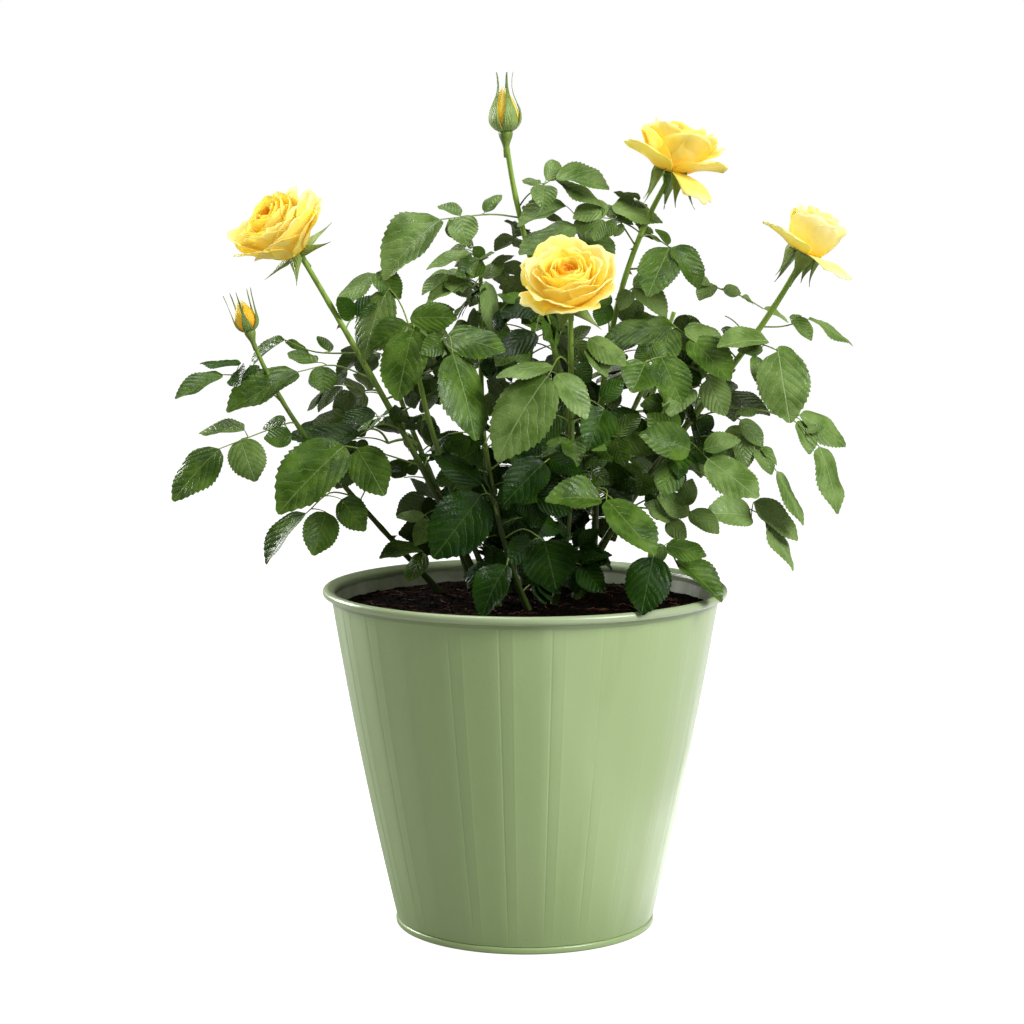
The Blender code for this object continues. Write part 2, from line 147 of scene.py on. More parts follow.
# %% Surround, floor and lamps
SURROUND_SEEN = 1.0
SURROUND_TINT = (1.0, 0.99, 0.88)
SURROUND_LIGHT = 0.34
SURROUND_GLEAM = 0.10
FLOOR_SIDE = 160.0
FLOOR_DROP = 0.0002
FLOOR_COLOUR, FLOOR_ROUGHNESS, FLOOR_SHINE = 0.36, 0.9, 0.1
FLOOR_GLOW, FLOOR_GLEAM, FAR_GLEAM = 0.92, 1.9, 0.45
GLEAM_RISES, GLEAM_FALLS = (0.02, 0.15), (0.18, 0.28)

world = bpy.data.worlds.new("surround")
bpy.context.scene.world = world
world.use_nodes = True
surround = world.node_tree
backdrop = surround.nodes["Background"]
rays = put(surround, "ShaderNodeLightPath").outputs
unseen = ramped(surround, rays["Is Glossy Ray"], 0.0, 1.0, SURROUND_LIGHT, SURROUND_GLEAM, smooth=False)
strength = ramped(surround, rays["Is Camera Ray"], 0.0, 1.0, unseen, SURROUND_SEEN, smooth=False)
surround.links.new(strength, backdrop.inputs["Strength"])
surround.links.new(blend(surround, rays["Is Camera Ray"], rgba(SURROUND_TINT), rgba((1.0, 1.0, 1.0))),
                   backdrop.inputs["Color"])
bpy.context.scene.view_settings.view_transform = "Standard"

floor_material = bpy.data.materials.new("pale floor")
floor_material.use_nodes = True
floor_tree = floor_material.node_tree
floor_shader = floor_tree.nodes["Principled BSDF"]
floor_shader.inputs["Base Color"].default_value = rgba((FLOOR_COLOUR,) * 3)
floor_shader.inputs["Roughness"].default_value = FLOOR_ROUGHNESS
floor_shader.inputs["Specular IOR Level"].default_value = FLOOR_SHINE
floor_shader.inputs["Emission Color"].default_value = rgba((1.0, 1.0, 1.0))
rays = put(floor_tree, "ShaderNodeLightPath").outputs
right = place_axes(floor_tree)["X"]
gleam = ramped(floor_tree, right, *GLEAM_RISES, 0.0, FLOOR_GLEAM)
gleam = maths(floor_tree, "MULTIPLY", gleam, ramped(floor_tree, right, *GLEAM_FALLS, 1.0, FAR_GLEAM))
gleam = maths(floor_tree, "MULTIPLY", rays["Is Glossy Ray"], gleam)
glow = maths(floor_tree, "MULTIPLY", rays["Is Camera Ray"], FLOOR_GLOW)
floor_tree.links.new(maths(floor_tree, "ADD", gleam, glow), floor_shader.inputs["Emission Strength"])

bpy.ops.mesh.primitive_grid_add(x_subdivisions=4, y_subdivisions=4, size=FLOOR_SIDE,
                                location=(0, 0, -FLOOR_DROP))
floor = bpy.context.object
floor.name = "floor"
floor.data.materials.append(floor_material)

Lamp = namedtuple("Lamp", "place aim size power tint")
LAMPS = {
    "key": Lamp((1.25, -0.95, 1.35), (0.0, 0.0, 0.28), 0.9, 41.0, (0.945, 0.955, 1.0)),
    "fill": Lamp((-1.5, -1.1, 0.7), (0.0, 0.0, 0.25), 1.0, 0.8, (1.0, 1.0, 1.0)),
    "edge": Lamp((-1.1, 0.75, 0.7), (0.0, 0.0, 0.2), 0.5, 17.0, (1.0, 1.0, 1.0)),
    "sky": Lamp((-0.35, 0.25, 1.7), (0.0, 0.0, 0.35), 0.8, 13.0, (1.0, 1.0, 1.0)),
}
for name, lamp in LAMPS.items():
    data = bpy.data.lights.new(name, "AREA")
    data.size, data.energy, data.color = lamp.size, lamp.power, lamp.tint
    light = bpy.data.objects.new(name, data)
    bpy.context.scene.collection.objects.link(light)
    light.location = lamp.place
    light.rotation_euler = (Vector(lamp.aim) - Vector(lamp.place)).to_track_quat("-Z", "Y").to_euler()
print("studio:", ", ".join(LAMPS))

# %% [markdown]
# ## Shared tools
# Nearly every finish here is one colour that drifts softly into another: paint that was sprayed a little
# unevenly, bark, leaf skin, petals, soil. One shader group, built once, gives that drift, and each
# material places it with its own colours, scale and stretch. Its mask also serves as the height of a
# fine bump. Meshes come from arrays of points and faces, and what repeats is copied onto points by one
# small Geometry Nodes tree, so the same two tools make leaflets, prickles and crumbs of soil.

# %% The mottle group
def new_group(name, inputs, outputs):
    """An empty shader group with its sockets, and its two end nodes."""
    group = bpy.data.node_groups.new(name, "ShaderNodeTree")
    for side, sockets in (("INPUT", inputs), ("OUTPUT", outputs)):
        for label, kind in sockets.items():
            group.interface.new_socket(label, in_out=side, socket_type="NodeSocket" + kind)
    return group, group.nodes.new("NodeGroupInput").outputs, group.nodes.new("NodeGroupOutput").inputs


MOTTLE, given, result = new_group(
    "Mottle",
    {"First": "Color", "Second": "Color", "Scale": "Float", "Stretch": "Vector",
     "Low": "Float", "High": "Float"},
    {"Colour": "Color", "Mask": "Float"})
place = put(MOTTLE, "ShaderNodeTexCoord").outputs["Object"]
stretched = put(MOTTLE, "ShaderNodeVectorMath", {0: place, 1: given["Stretch"]},
                operation="MULTIPLY").outputs[0]
patches = put(MOTTLE, "ShaderNodeTexNoise", {"Vector": stretched, "Scale": given["Scale"], "Detail": 4.0})
mask = ramped(MOTTLE, patches.outputs["Fac"], given["Low"], given["High"])
MOTTLE.links.new(mask, result["Mask"])
MOTTLE.links.new(blend(MOTTLE, mask, given["First"], given["Second"]), result["Colour"])


def mottle(tree, first, second, scale, stretch=(1.0, 1.0, 1.0), low=0.35, high=0.65):
    """The mottle group placed in a material. Its outputs are Colour and Mask."""
    node = put(tree, "ShaderNodeGroup", node_tree=MOTTLE)
    for name, value in (("First", first), ("Second", second), ("Scale", scale), ("Stretch", stretch),
                        ("Low", low), ("High", high)):
        if isinstance(value, bpy.types.NodeSocket):
            tree.links.new(value, node.inputs[name])
        else:
            node.inputs[name].default_value = rgba(value) if name in ("First", "Second") else value
    return node.outputs


def new_finish(name, **fixed):
    """A material, its tree and its shader. Numbers that are the same all over go on the shader's sockets."""
    material = bpy.data.materials.new(name)
    material.use_nodes = True
    shader = material.node_tree.nodes["Principled BSDF"]
    for socket, value in fixed.items():
        shader.inputs[socket.replace("_", " ")].default_value = value
    return material, material.node_tree, shader


def bumped(tree, shader, height, depth, strength=1.0):
    """A height pattern, in metres at its full value, on the shader's normal."""
    bump = put(tree, "ShaderNodeBump", {"Height": height, "Distance": depth, "Strength": strength})
    tree.links.new(bump.outputs["Normal"], shader.inputs["Normal"])


# %% Mesh helpers
def add_piece(name, mesh, material=None):
    piece = bpy.data.objects.new(name, mesh)
    bpy.context.scene.collection.objects.link(piece)
    if material:
        mesh.materials.clear()
        mesh.materials.append(material)
    return piece


def mesh_of(name, points, faces, uv=None, smooth=True):
    """A mesh from lists of points and faces. uv holds one pair for each point."""
    mesh = bpy.data.meshes.new(name)
    mesh.from_pydata([tuple(p) for p in points], [], faces)
    if uv is not None:
        layer = mesh.uv_layers.new(name="skin")
        corners = np.empty(len(mesh.loops), np.int32)
        mesh.loops.foreach_get("vertex_index", corners)
        layer.data.foreach_set("uv", np.asarray(uv, np.float32)[corners].ravel())
    if smooth:
        mesh.shade_smooth()
    return mesh


def turned(name, profile, steps=192, closed=True):
    """A turned mesh. The profile's (radius, height) points go once round, and radius 0 closes on the axis."""
    points, faces, rings = [], [], []
    for radius, height in profile:
        if radius == 0:
            rings.append([len(points)] * steps)
            points.append((0.0, 0.0, height))
        else:
            rings.append(list(range(len(points), len(points) + steps)))
            turns = [math.tau * i / steps for i in range(steps)]
            points += [(radius * math.cos(turn), radius * math.sin(turn), height) for turn in turns]
    pairs = list(zip(rings, rings[1:])) + ([(rings[-1], rings[0])] if closed else [])
    for near, far in pairs:
        for i in range(steps):
            j = (i + 1) % steps
            corner = [near[i], near[j], far[j], far[i]]
            face = [c for k, c in enumerate(corner) if c not in corner[:k]]
            if len(face) > 2:
                faces.append(face)
    return mesh_of(name, points, faces)


def tidy_normals(mesh):
    """Every closed shell's faces turned outwards."""
    made = bmesh.new()
    made.from_mesh(mesh)
    bmesh.ops.recalc_face_normals(made, faces=made.faces)
    made.to_mesh(mesh)
    made.free()
    return mesh


# %% Geometry Nodes trees
def node_tree(name, sockets):
    """An empty geometry tree with a mesh in and out, and named inputs with their identifiers."""
    tree = bpy.data.node_groups.new(name, "GeometryNodeTree")
    tree.interface.new_socket("Geometry", in_out="INPUT", socket_type="NodeSocketGeometry")
    keys = {}
    for label, kind in sockets.items():
        socket = tree.interface.new_socket(label, in_out="INPUT", socket_type="NodeSocket" + kind)
        keys[label] = socket.identifier
    tree.interface.new_socket("Geometry", in_out="OUTPUT", socket_type="NodeSocketGeometry")
    return tree, tree.nodes.new("NodeGroupInput").outputs, keys


def close_tree(tree, geometry, material):
    """Realize Instances and Set Material, which end every tree."""
    real = put(tree, "GeometryNodeRealizeInstances", {0: geometry}).outputs[0]
    painted = put(tree, "GeometryNodeSetMaterial", {"Geometry": real, "Material": material}).outputs[0]
    tree.links.new(painted, tree.nodes.new("NodeGroupOutput").inputs[0])


def grown(name, base, tree, keys, **values):
    """A plain mesh piece from an object run through a tree, with the tree's inputs set by identifier."""
    modifier = base.modifiers.new(tree.name, "NODES")
    modifier.node_group = tree
    for label, value in values.items():
        modifier[keys[label.replace("_", " ")]] = value
    graph = bpy.context.evaluated_depsgraph_get()
    mesh = bpy.data.meshes.new_from_object(base.evaluated_get(graph))
    mesh.name = name
    bpy.data.objects.remove(base)
    piece = add_piece(name, mesh)
    print(f"{name}: {len(mesh.polygons)} faces")
    return piece


# Copies on points: each point carries its copy's shape number, turn and size.
COPIES, given, COPIES_KEYS = node_tree("Copies on points", {"Shapes": "Collection", "Finish": "Material"})
shapes = put(COPIES, "GeometryNodeCollectionInfo",
             {"Collection": given["Shapes"], "Separate Children": True, "Reset Children": True})
read = {label: put(COPIES, "GeometryNodeInputNamedAttribute", {"Name": label}, data_type=kind).outputs[0]
        for label, kind in (("kind", "INT"), ("turn", "FLOAT_VECTOR"), ("size", "FLOAT_VECTOR"))}
copies = put(COPIES, "GeometryNodeInstanceOnPoints",
             {"Points": given["Geometry"], "Instance": shapes.outputs[0], "Pick Instance": True,
              "Instance Index": read["kind"], "Rotation": read["turn"], "Scale": read["size"]})
close_tree(COPIES, copies.outputs[0], given["Finish"])

# Tubes along curves: each point of a curve carries its own radius, and the skin gets a fine relief.
TUBES, given, TUBES_KEYS = node_tree("Tubes along curves",
                                     {"Sides": "Int", "Relief": "Float", "Finish": "Material"})
outline = put(TUBES, "GeometryNodeCurvePrimitiveCircle", {"Resolution": given["Sides"], "Radius": 1.0})
swept = put(TUBES, "GeometryNodeCurveToMesh",
            {"Curve": given["Geometry"], "Profile Curve": outline.outputs[0],
             "Scale": put(TUBES, "GeometryNodeInputRadius").outputs[0], "Fill Caps": True})
rough = put(TUBES, "ShaderNodeTexNoise", {"Scale": 420.0, "Detail": 2.0})
height = put(TUBES, "ShaderNodeMath", {0: rough.outputs["Fac"], 1: given["Relief"]}, operation="MULTIPLY")
pushed = put(TUBES, "ShaderNodeVectorMath",
             {0: put(TUBES, "GeometryNodeInputNormal").outputs[0], "Scale": height.outputs[0]},
             operation="SCALE")
barked = put(TUBES, "GeometryNodeSetPosition", {"Geometry": swept.outputs[0], "Offset": pushed.outputs[0]})
close_tree(TUBES, barked.outputs[0], given["Finish"])


def tubes(name, paths, material, sides, relief=0.0):
    """One piece of tubes. Each path is a list of points and a list of radii."""
    curve = bpy.data.curves.new(name, "CURVE")
    curve.dimensions = "3D"
    for points, radii in paths:
        spline = curve.splines.new("POLY")
        spline.points.add(len(points) - 1)
        spline.points.foreach_set("co", np.array([(*p, 1.0) for p in points], np.float32).ravel())
        spline.points.foreach_set("radius", np.array(radii, np.float32))
    base = add_piece(name + " paths", curve)
    piece = grown(name, base, TUBES, TUBES_KEYS, Sides=sides, Relief=relief, Finish=material)
    piece.data.shade_smooth()
    return piece


def copies_of(name, shapes, rows, material):
    """One piece of copies. A row is a place, a 3 x 3 turn, a size along each axis and a shape's number."""
    folder = bpy.data.collections.new(name + " shapes")
    for i, shape in enumerate(shapes):
        folder.objects.link(bpy.data.objects.new(f"{name} {i:02d}", shape))
    points = bpy.data.meshes.new(name)
    points.from_pydata([tuple(row[0]) for row in rows], [], [])
    for label, kind, key, values in (
            ("turn", "FLOAT_VECTOR", "vector", [tuple(row[1].to_euler()) for row in rows]),
            ("size", "FLOAT_VECTOR", "vector", [tuple(row[2]) for row in rows]),
            ("kind", "INT", "value", [row[3] for row in rows])):
        data = points.attributes.new(label, kind, "POINT").data
        data.foreach_set(key, np.array(values, np.int32 if kind == "INT" else np.float32).ravel())
    piece = grown(name, add_piece(name + " points", points), COPIES, COPIES_KEYS,
                  Shapes=folder, Finish=material)
    for shape in list(folder.objects):
        bpy.data.objects.remove(shape)
    bpy.data.collections.remove(folder)
    return piece

# %% [markdown]
# ## The pot
# A bucket of thin sheet steel: flat panels meet at 24 upright creases, the mouth is rolled outwards and
# the foot has a narrow hem. It could be a cone with creases painted on, but the creases catch the light,
# so they are real: each is a shallow groove with a low fold beside it. The wall is a grid of points whose
# radius follows the panels, closed with an inner face so that the steel has its thickness.

# %% Paint
# The inner side is painted a paler grey-green, painted light where the inner wall stands in shade; a line
# under the rim is painted darker, painted shadow cast by the roll; and the roll itself is paler.
PAINT = (0.315, 0.435, 0.178)
PAINT_WARM = (0.345, 0.455, 0.195)
PAINT_ROLL = (0.350, 0.435, 0.235)
PAINT_SHADE_UNDER_ROLL = (0.235, 0.310, 0.130)
SHADE_UNDER_ROLL_FROM, ROLL_FROM, INNER_FACING = (0.2040, 0.2052), (0.2066, 0.2078), (-0.085, -0.055)

paint, tree, shader = new_finish("sage satin paint", Roughness=0.36, Coat_Weight=0.35, Coat_Roughness=0.22)
broad = mottle(tree, PAINT, PAINT_WARM, 9.0, stretch=(1.0, 1.0, 0.35), low=0.3, high=0.7)
streaks = mottle(tree, broad["Colour"], (0.275, 0.385, 0.150), 60.0, stretch=(1.0, 1.0, 0.05),
                 low=0.55, high=0.95)
specks = mottle(tree, streaks["Colour"], (0.24, 0.31, 0.16), 900.0, low=0.72, high=0.76)
place = put(tree, "ShaderNodeTexCoord").outputs["Object"]
normal = put(tree, "ShaderNodeNewGeometry").outputs["Normal"]
around = put(tree, "ShaderNodeVectorMath", {0: place, 1: (1.0, 1.0, 0.0)}, operation="MULTIPLY").outputs[0]
outwards = put(tree, "ShaderNodeVectorMath", {0: around, 1: normal}, operation="DOT_PRODUCT").outputs["Value"]
inner_side = ramped(tree, outwards, *INNER_FACING, 1.0, 0.0)
# Painted light: the inner side is painted a pale grey-green, as the inner wall falls into shade.
inner_painted_light = mottle(tree, (0.66, 0.70, 0.58), (0.44, 0.50, 0.34), 45.0, low=0.35, high=0.7)
up_the_pot = place_axes(tree)["Z"]
# Painted shadow: the band just under the roll is darkened, where the roll's overhang shades the wall.
shaded_under_roll = blend(tree, ramped(tree, up_the_pot, *SHADE_UNDER_ROLL_FROM), specks["Colour"], rgba(PAINT_SHADE_UNDER_ROLL))
wall_colour = blend(tree, inner_side, shaded_under_roll, inner_painted_light["Colour"])
on_roll = ramped(tree, up_the_pot, *ROLL_FROM)
tree.links.new(blend(tree, on_roll, wall_colour, rgba(PAINT_ROLL)), shader.inputs["Base Color"])
worn = mottle(tree, (0, 0, 0), (1, 1, 1), 25.0, stretch=(1.0, 1.0, 0.4))
tree.links.new(ramped(tree, worn["Mask"], 0.0, 1.0, 0.32, 0.44), shader.inputs["Roughness"])
peel = mottle(tree, (0, 0, 0), (1, 1, 1), 420.0, low=0.2, high=0.8)
bumped(tree, shader, peel["Mask"], 0.00004)

# %% Panelled wall
PANELS = 24
FOOT_RADIUS, TOP_RADIUS, BELLY, SHEET = 0.0806, 0.1204, 0.0020, 0.0012
WALL_FOOT, WALL_TOP = 0.0045, 0.2068
GROOVE, GROOVE_WIDTH, FOLD, FOLD_WIDTH, FOLD_TURN = 0.00026, 0.26, 0.00012, 0.32, 3.9
PANEL_ANGLE, HALF_ANGLE, SHARP_ANGLE = 15, 7.5, math.radians(50)
PANEL_TURNS = (-0.55, -0.28, 0.0, 0.28, 0.55, 3.2, 3.6, 3.9, 4.2, 4.6, 7.5, 9.6, 11.8)
WALL_ROWS, PANEL_FLATNESS = 36, 0.45
draw = random.Random(11)
crease_depth = [draw.uniform(0.55, 1.25) for _ in range(PANELS)]
crease_lean = [draw.uniform(-0.5, 0.5) for _ in range(PANELS)]


def wall_radius(share):
    """The wall's radius at a share of its height."""
    return FOOT_RADIUS + share * (TOP_RADIUS - FOOT_RADIUS) + BELLY * 4 * share * (1 - share)


def bell(distance, width):
    """A smooth bump, 1 high and about this wide."""
    return math.exp(-(distance / width) ** 2)


points, faces = [], []
columns = PANELS * len(PANEL_TURNS)
for row in range(WALL_ROWS + 1):
    share = row / WALL_ROWS
    rounded = wall_radius(share)
    for panel in range(PANELS):
        lean = crease_lean[panel] * (share - 0.5)
        fade = crease_depth[panel] * min(1.0, 6 * share + 0.2)
        for turn in PANEL_TURNS:
            middle = math.radians(turn - HALF_ANGLE)
            flat = rounded * math.cos(math.radians(HALF_ANGLE)) / math.cos(middle) if turn > 0 else rounded
            dent = GROOVE * fade * bell(turn, GROOVE_WIDTH) - FOLD * fade * bell(turn - FOLD_TURN, FOLD_WIDTH)
            angle = math.radians(PANEL_ANGLE * panel + HALF_ANGLE + turn + lean)
            radius = PANEL_FLATNESS * flat + (1 - PANEL_FLATNESS) * rounded - dent
            points.append((radius * math.cos(angle), radius * math.sin(angle),
                           WALL_FOOT + share * (WALL_TOP - WALL_FOOT)))
outside = len(points)
points += [(x * (1 - SHEET / math.hypot(x, y)), y * (1 - SHEET / math.hypot(x, y)), z) for x, y, z in points]
for row in range(WALL_ROWS):
    for i in range(columns):
        j = (i + 1) % columns
        a, b, c, d = row * columns + i, row * columns + j, (row + 1) * columns + j, (row + 1) * columns + i
        faces += [(a, b, c, d), (outside + d, outside + c, outside + b, outside + a)]
for i in range(columns):
    j, top = (i + 1) % columns, WALL_ROWS * columns
    faces += [(j, i, outside + i, outside + j), (top + i, top + j, outside + top + j, outside + top + i)]
wall = add_piece("pot_shell", mesh_of("pot_shell", points, faces), paint)
wall.data.set_sharp_from_angle(angle=SHARP_ANGLE)
print("pot shell:", len(faces), "faces")

# %% Hem dimples
# The hem is clinched with a row of small round dimples just above it, one each 15 degrees.
DIMPLE_RADIUS, DIMPLE_Z = 0.0011, 0.0102
DIMPLE_PROFILE = [(0.0, 0.45), (0.45, 0.38), (0.8, 0.20), (1.0, 0.0), (1.0, -0.4), (0.0, -0.4)]
dimple = turned("dimple", DIMPLE_PROFILE, steps=12)
rows = []
for i in range(PANELS):
    angle = math.radians(PANEL_ANGLE * i + 0.6)
    out = Vector((math.cos(angle), math.sin(angle), -0.19)).normalized()
    radius = wall_radius((DIMPLE_Z - WALL_FOOT) / (WALL_TOP - WALL_FOOT)) * math.cos(math.radians(7.0))
    place = Vector((radius * math.cos(angle), radius * math.sin(angle), DIMPLE_Z))
    side = UP.cross(out).normalized()
    turn = Matrix((side, out.cross(side), out)).transposed()
    rows.append((place, turn, (DIMPLE_RADIUS, DIMPLE_RADIUS, MM), 0))
clinches = copies_of("hem_clinches", [dimple], rows, paint)

# %% Rolled rim and hem
RIM_RADIUS, POT_HEIGHT, RIM_ROUND, RIM_OUT = 0.125, 0.210, 0.0026, 0.0008
HEM_RADIUS, HEM_HEIGHT, HEM_WIDTH = 0.0812, 0.0042, 0.0040
HEM_TOP_ROUND, HEM_FOOT_ROUND = 0.0015, 0.0012


def arc(centre, radii, start, end, steps):
    """The points of an arc from one angle to another, in degrees."""
    angles = [math.radians(start + (end - start) * i / steps) for i in range(steps + 1)]
    return [(centre[0] + radii[0] * math.cos(a), centre[1] + radii[1] * math.sin(a)) for a in angles]


rim = add_piece("pot_roll", tidy_normals(turned("pot_roll", [
    *arc((RIM_RADIUS - RIM_ROUND + RIM_OUT, POT_HEIGHT), (RIM_ROUND, RIM_ROUND), 130, -80, 15),
    (TOP_RADIUS + 0.0010, POT_HEIGHT - 0.0034), (TOP_RADIUS + 0.0005, POT_HEIGHT - 0.0052),
    (TOP_RADIUS - 0.0010, POT_HEIGHT - 0.0054), (TOP_RADIUS - 0.0022, POT_HEIGHT - 0.0030),
    (TOP_RADIUS - 0.0021, POT_HEIGHT - 0.0004), (TOP_RADIUS - 0.0008, POT_HEIGHT + 0.0011)])), paint)
inner_hem = HEM_RADIUS - HEM_WIDTH
hem = add_piece("pot_foot", tidy_normals(turned("pot_foot", [
    (0.0, SHEET), (inner_hem - 0.002, SHEET), (inner_hem, SHEET + 0.0008), (inner_hem, HEM_HEIGHT),
    *arc((HEM_RADIUS - HEM_TOP_ROUND, HEM_HEIGHT - HEM_TOP_ROUND), (HEM_TOP_ROUND, HEM_TOP_ROUND), 90, 0, 5),
    *arc((HEM_RADIUS - HEM_FOOT_ROUND, HEM_FOOT_ROUND), (HEM_FOOT_ROUND, HEM_FOOT_ROUND), 0, -90, 5),
    (inner_hem - 0.006, 0.0), (inner_hem - 0.009, 0.0006), (0.0, 0.0006)], closed=False)), paint)
for piece in (rim, hem):
    piece.data.set_sharp_from_angle(angle=SHARP_ANGLE)
print("rim and foot turned")

# %% [markdown]
# ## The compost
# Dark moist compost with coarse crumbs and red-brown coir fibres, its colour set darker still as painted
# shade for the crown's shadow. A flat disc would look like card, so a fine grid is pushed up and down by
# two sizes of noise, and crumbs and curled fibres are scattered on it.

# %% Compost bed
COMPOST_TOP, COMPOST_EDGE, COMPOST_FOOT = 0.2022, 0.1985, 0.186
COMPOST_RADIUS, COMPOST_LEVEL, SKIRT_SHARE = 0.1168, 0.085, 0.985


def compost_height(x, y):
    """The height of the compost's skin. It falls a little to the pot's wall."""
    radius = math.hypot(x, y)
    outer = max(0.0, (radius - COMPOST_LEVEL) / (COMPOST_RADIUS - COMPOST_LEVEL))
    fall = (COMPOST_TOP - COMPOST_EDGE) * outer ** 1.5
    lumps = noise.noise(Vector((x, y, 0.3)) * 60) * 1.3 + noise.noise(Vector((x, y, 1.7)) * 190) * 0.9
    return COMPOST_TOP - fall + lumps * MM


soil, tree, shader = new_finish("damp compost with painted shade", Roughness=0.95, Specular_IOR_Level=0.03)
# Painted shade: the compost's colour is set near black for the shade that the crown casts on it.
dark = mottle(tree, (0.0014, 0.0008, 0.0005), (0.0085, 0.0043, 0.0028), 300.0, low=0.4, high=0.7)
flecks = mottle(tree, dark["Colour"], (0.055, 0.020, 0.012), 700.0, low=0.62, high=0.7)
tree.links.new(flecks["Colour"], shader.inputs["Base Color"])
bumped(tree, shader, dark["Mask"], 0.0006)
fibre, tree, shader = new_finish("coir fibre", Roughness=0.8, Specular_IOR_Level=0.2)
tint = mottle(tree, (0.055, 0.018, 0.010), (0.17, 0.065, 0.035), 160.0)
tree.links.new(tint["Colour"], shader.inputs["Base Color"])
bumped(tree, shader, tint["Mask"], 0.0002)

RINGS, SPOKES = 58, 240
points, faces = [(0.0, 0.0, compost_height(0, 0))], []
for ring in range(1, RINGS + 1):
    radius = COMPOST_RADIUS * ring / RINGS
    for spoke in range(SPOKES):
        angle = math.tau * spoke / SPOKES
        x, y = radius * math.cos(angle), radius * math.sin(angle)
        points.append((x, y, compost_height(x, y)))
skirt = len(points)
points += [(x * SKIRT_SHARE, y * SKIRT_SHARE, COMPOST_FOOT) for x, y, z in points[-SPOKES:]]
points.append((0.0, 0.0, COMPOST_FOOT))
last = 1 + (RINGS - 1) * SPOKES
for i in range(SPOKES):
    j = (i + 1) % SPOKES
    faces += [(0, 1 + i, 1 + j), (last + i, skirt + i, skirt + j, last + j),
              (skirt + i, skirt + SPOKES, skirt + j)]
    faces += [(1 + r * SPOKES + i, 1 + (r + 1) * SPOKES + i, 1 + (r + 1) * SPOKES + j, 1 + r * SPOKES + j)
              for r in range(RINGS - 1)]
bed = add_piece("compost_bed", tidy_normals(mesh_of("compost_bed", points, faces)), soil)
print("compost:", len(faces), "faces")

# %% Crumbs and fibres
CRUMBS, CRUMB_KINDS, CRUMB_LIMIT = 1500, 5, 0.1135
FIBRES, FIBRE_LIMIT = 240, 0.106
FIBRE_RADII = [0.00016, 0.0002, 0.0002, 0.00018, 0.00014, 0.00006]
draw = random.Random(5)


def crumb_shape(seed):
    """An uneven pebble of 20 faces."""
    made = bmesh.new()
    bmesh.ops.create_icosphere(made, subdivisions=1, radius=1.0)
    for vertex in made.verts:
        vertex.co *= 0.8 + 0.5 * noise.noise(vertex.co * 1.7 + Vector((seed, 0, 0)))
    mesh = bpy.data.meshes.new("crumb")
    made.to_mesh(mesh)
    made.free()
    return mesh


def on_compost(limit):
    """A random point on the compost, within a radius."""
    radius, angle = limit * math.sqrt(draw.random()), draw.uniform(0, math.tau)
    x, y = radius * math.cos(angle), radius * math.sin(angle)
    return Vector((x, y, compost_height(x, y)))


rows = []
for _ in range(CRUMBS):
    size = draw.uniform(0.5, 1.0) ** 2 * 1.9 * MM
    turn = Matrix.Rotation(draw.uniform(0, 6.28), 3, "Z") @ Matrix.Rotation(draw.uniform(0, 6.28), 3, "X")
    rows.append((on_compost(CRUMB_LIMIT), turn, (size, size * 0.8, size * 0.6), draw.randrange(CRUMB_KINDS)))
crumbs = copies_of("compost_crumbs", [crumb_shape(3.1 * i) for i in range(CRUMB_KINDS)], rows, soil)
paths = []
for _ in range(FIBRES):
    place, angle, length = on_compost(FIBRE_LIMIT), draw.uniform(0, 6.28), draw.uniform(5, 13) * MM
    bend, path = draw.uniform(-2.2, 2.2), []
    for step in range(6):
        above = (0.3 + 0.5 * (step % 2)) * MM
        path.append(Vector((place.x, place.y, compost_height(place.x, place.y) + above)))
        place = place + Vector((math.cos(angle), math.sin(angle), 0)) * length / 5
        angle += bend / 5
    paths.append((path, FIBRE_RADII))
fibres = tubes("compost_fibres", paths, fibre, 4)

# %% [markdown]
# ## The canes
# A rose cane is a long tapering shoot, olive and stout at its foot, fresh yellow-green near its flower,
# with faint streaks, a slight joint where each leaf stands and hooked prickles. Towards its foot it is
# darker: partly the old wood's own olive, partly painted shade low in the crown. Each cane is one Bezier
# curve from its foot on the compost to its head, swept with a round outline by Geometry Nodes.

# %% Cane curves
# A cane leaves its foot, x and y on the compost, along rise, and comes to its head from hang. All in mm.
Cane = namedtuple("Cane", "foot rise head hang foot_width head_width")
CANES = {
    "cane_left_low": Cane(
        (-53, 30), (-50, -20, 60), (-165, -40, 371), (20, 5, -60), 3.4, 2.4),
    "cane_left": Cane(
        (-24, 2), (-30, 0, 70), (-134, -25, 415), (40, 10, -70), 4.2, 3.0),
    "cane_top_bud": Cane(
        (6, 38), (55, 0, 95), (-12, 30, 491), (10, 0, -100), 4.2, 3.0),
    "cane_front": Cane(
        (18, -12), (15, -10, 60), (27, -42, 386), (0, 15, -60), 3.8, 3.1),
    "cane_top_right": Cane(
        (43, 36), (5, 0, 85), (89, 30, 463), (-50, 0, -85), 4.2, 3.1),
    "cane_right": Cane(
        (32, 12), (30, -10, 75), (166, -20, 412), (-35, 15, -70), 4.8, 3.2),
    "leafy_cane_left": Cane(
        (-16, -22), (-25, -5, 60), (-69, -25, 377), (5, -5, -60), 3.7, 2.5),
    "leafy_cane_middle": Cane(
        (-10, 30), (-20, 15, 70), (-28, 50, 413), (0, 10, -70), 3.7, 2.5),
    "leafy_cane_front": Cane(
        (2, -34), (-15, -15, 35), (-24, -52, 306), (5, 0, -35), 3.5, 2.3),
    "leafy_cane_back_left": Cane(
        (-34, 52), (-16, 20, 60), (-92, 98, 362), (12, -10, -60), 4.0, 2.6),
    "leafy_cane_back_middle": Cane(
        (0, 66), (-8, 16, 60), (6, 114, 368), (-6, -14, -60), 3.8, 2.6),
    "leafy_cane_back_right": Cane(
        (26, 58), (16, 16, 70), (98, 104, 378), (-20, -12, -60), 4.0, 2.6),
}
FOOT_Z, CANE_STEPS, HEAD_FLARE = 202.8, 40, 1.15
FLARE, FLARE_SHARE = 0.35, 0.05
Limb = namedtuple("Limb", "points radii")


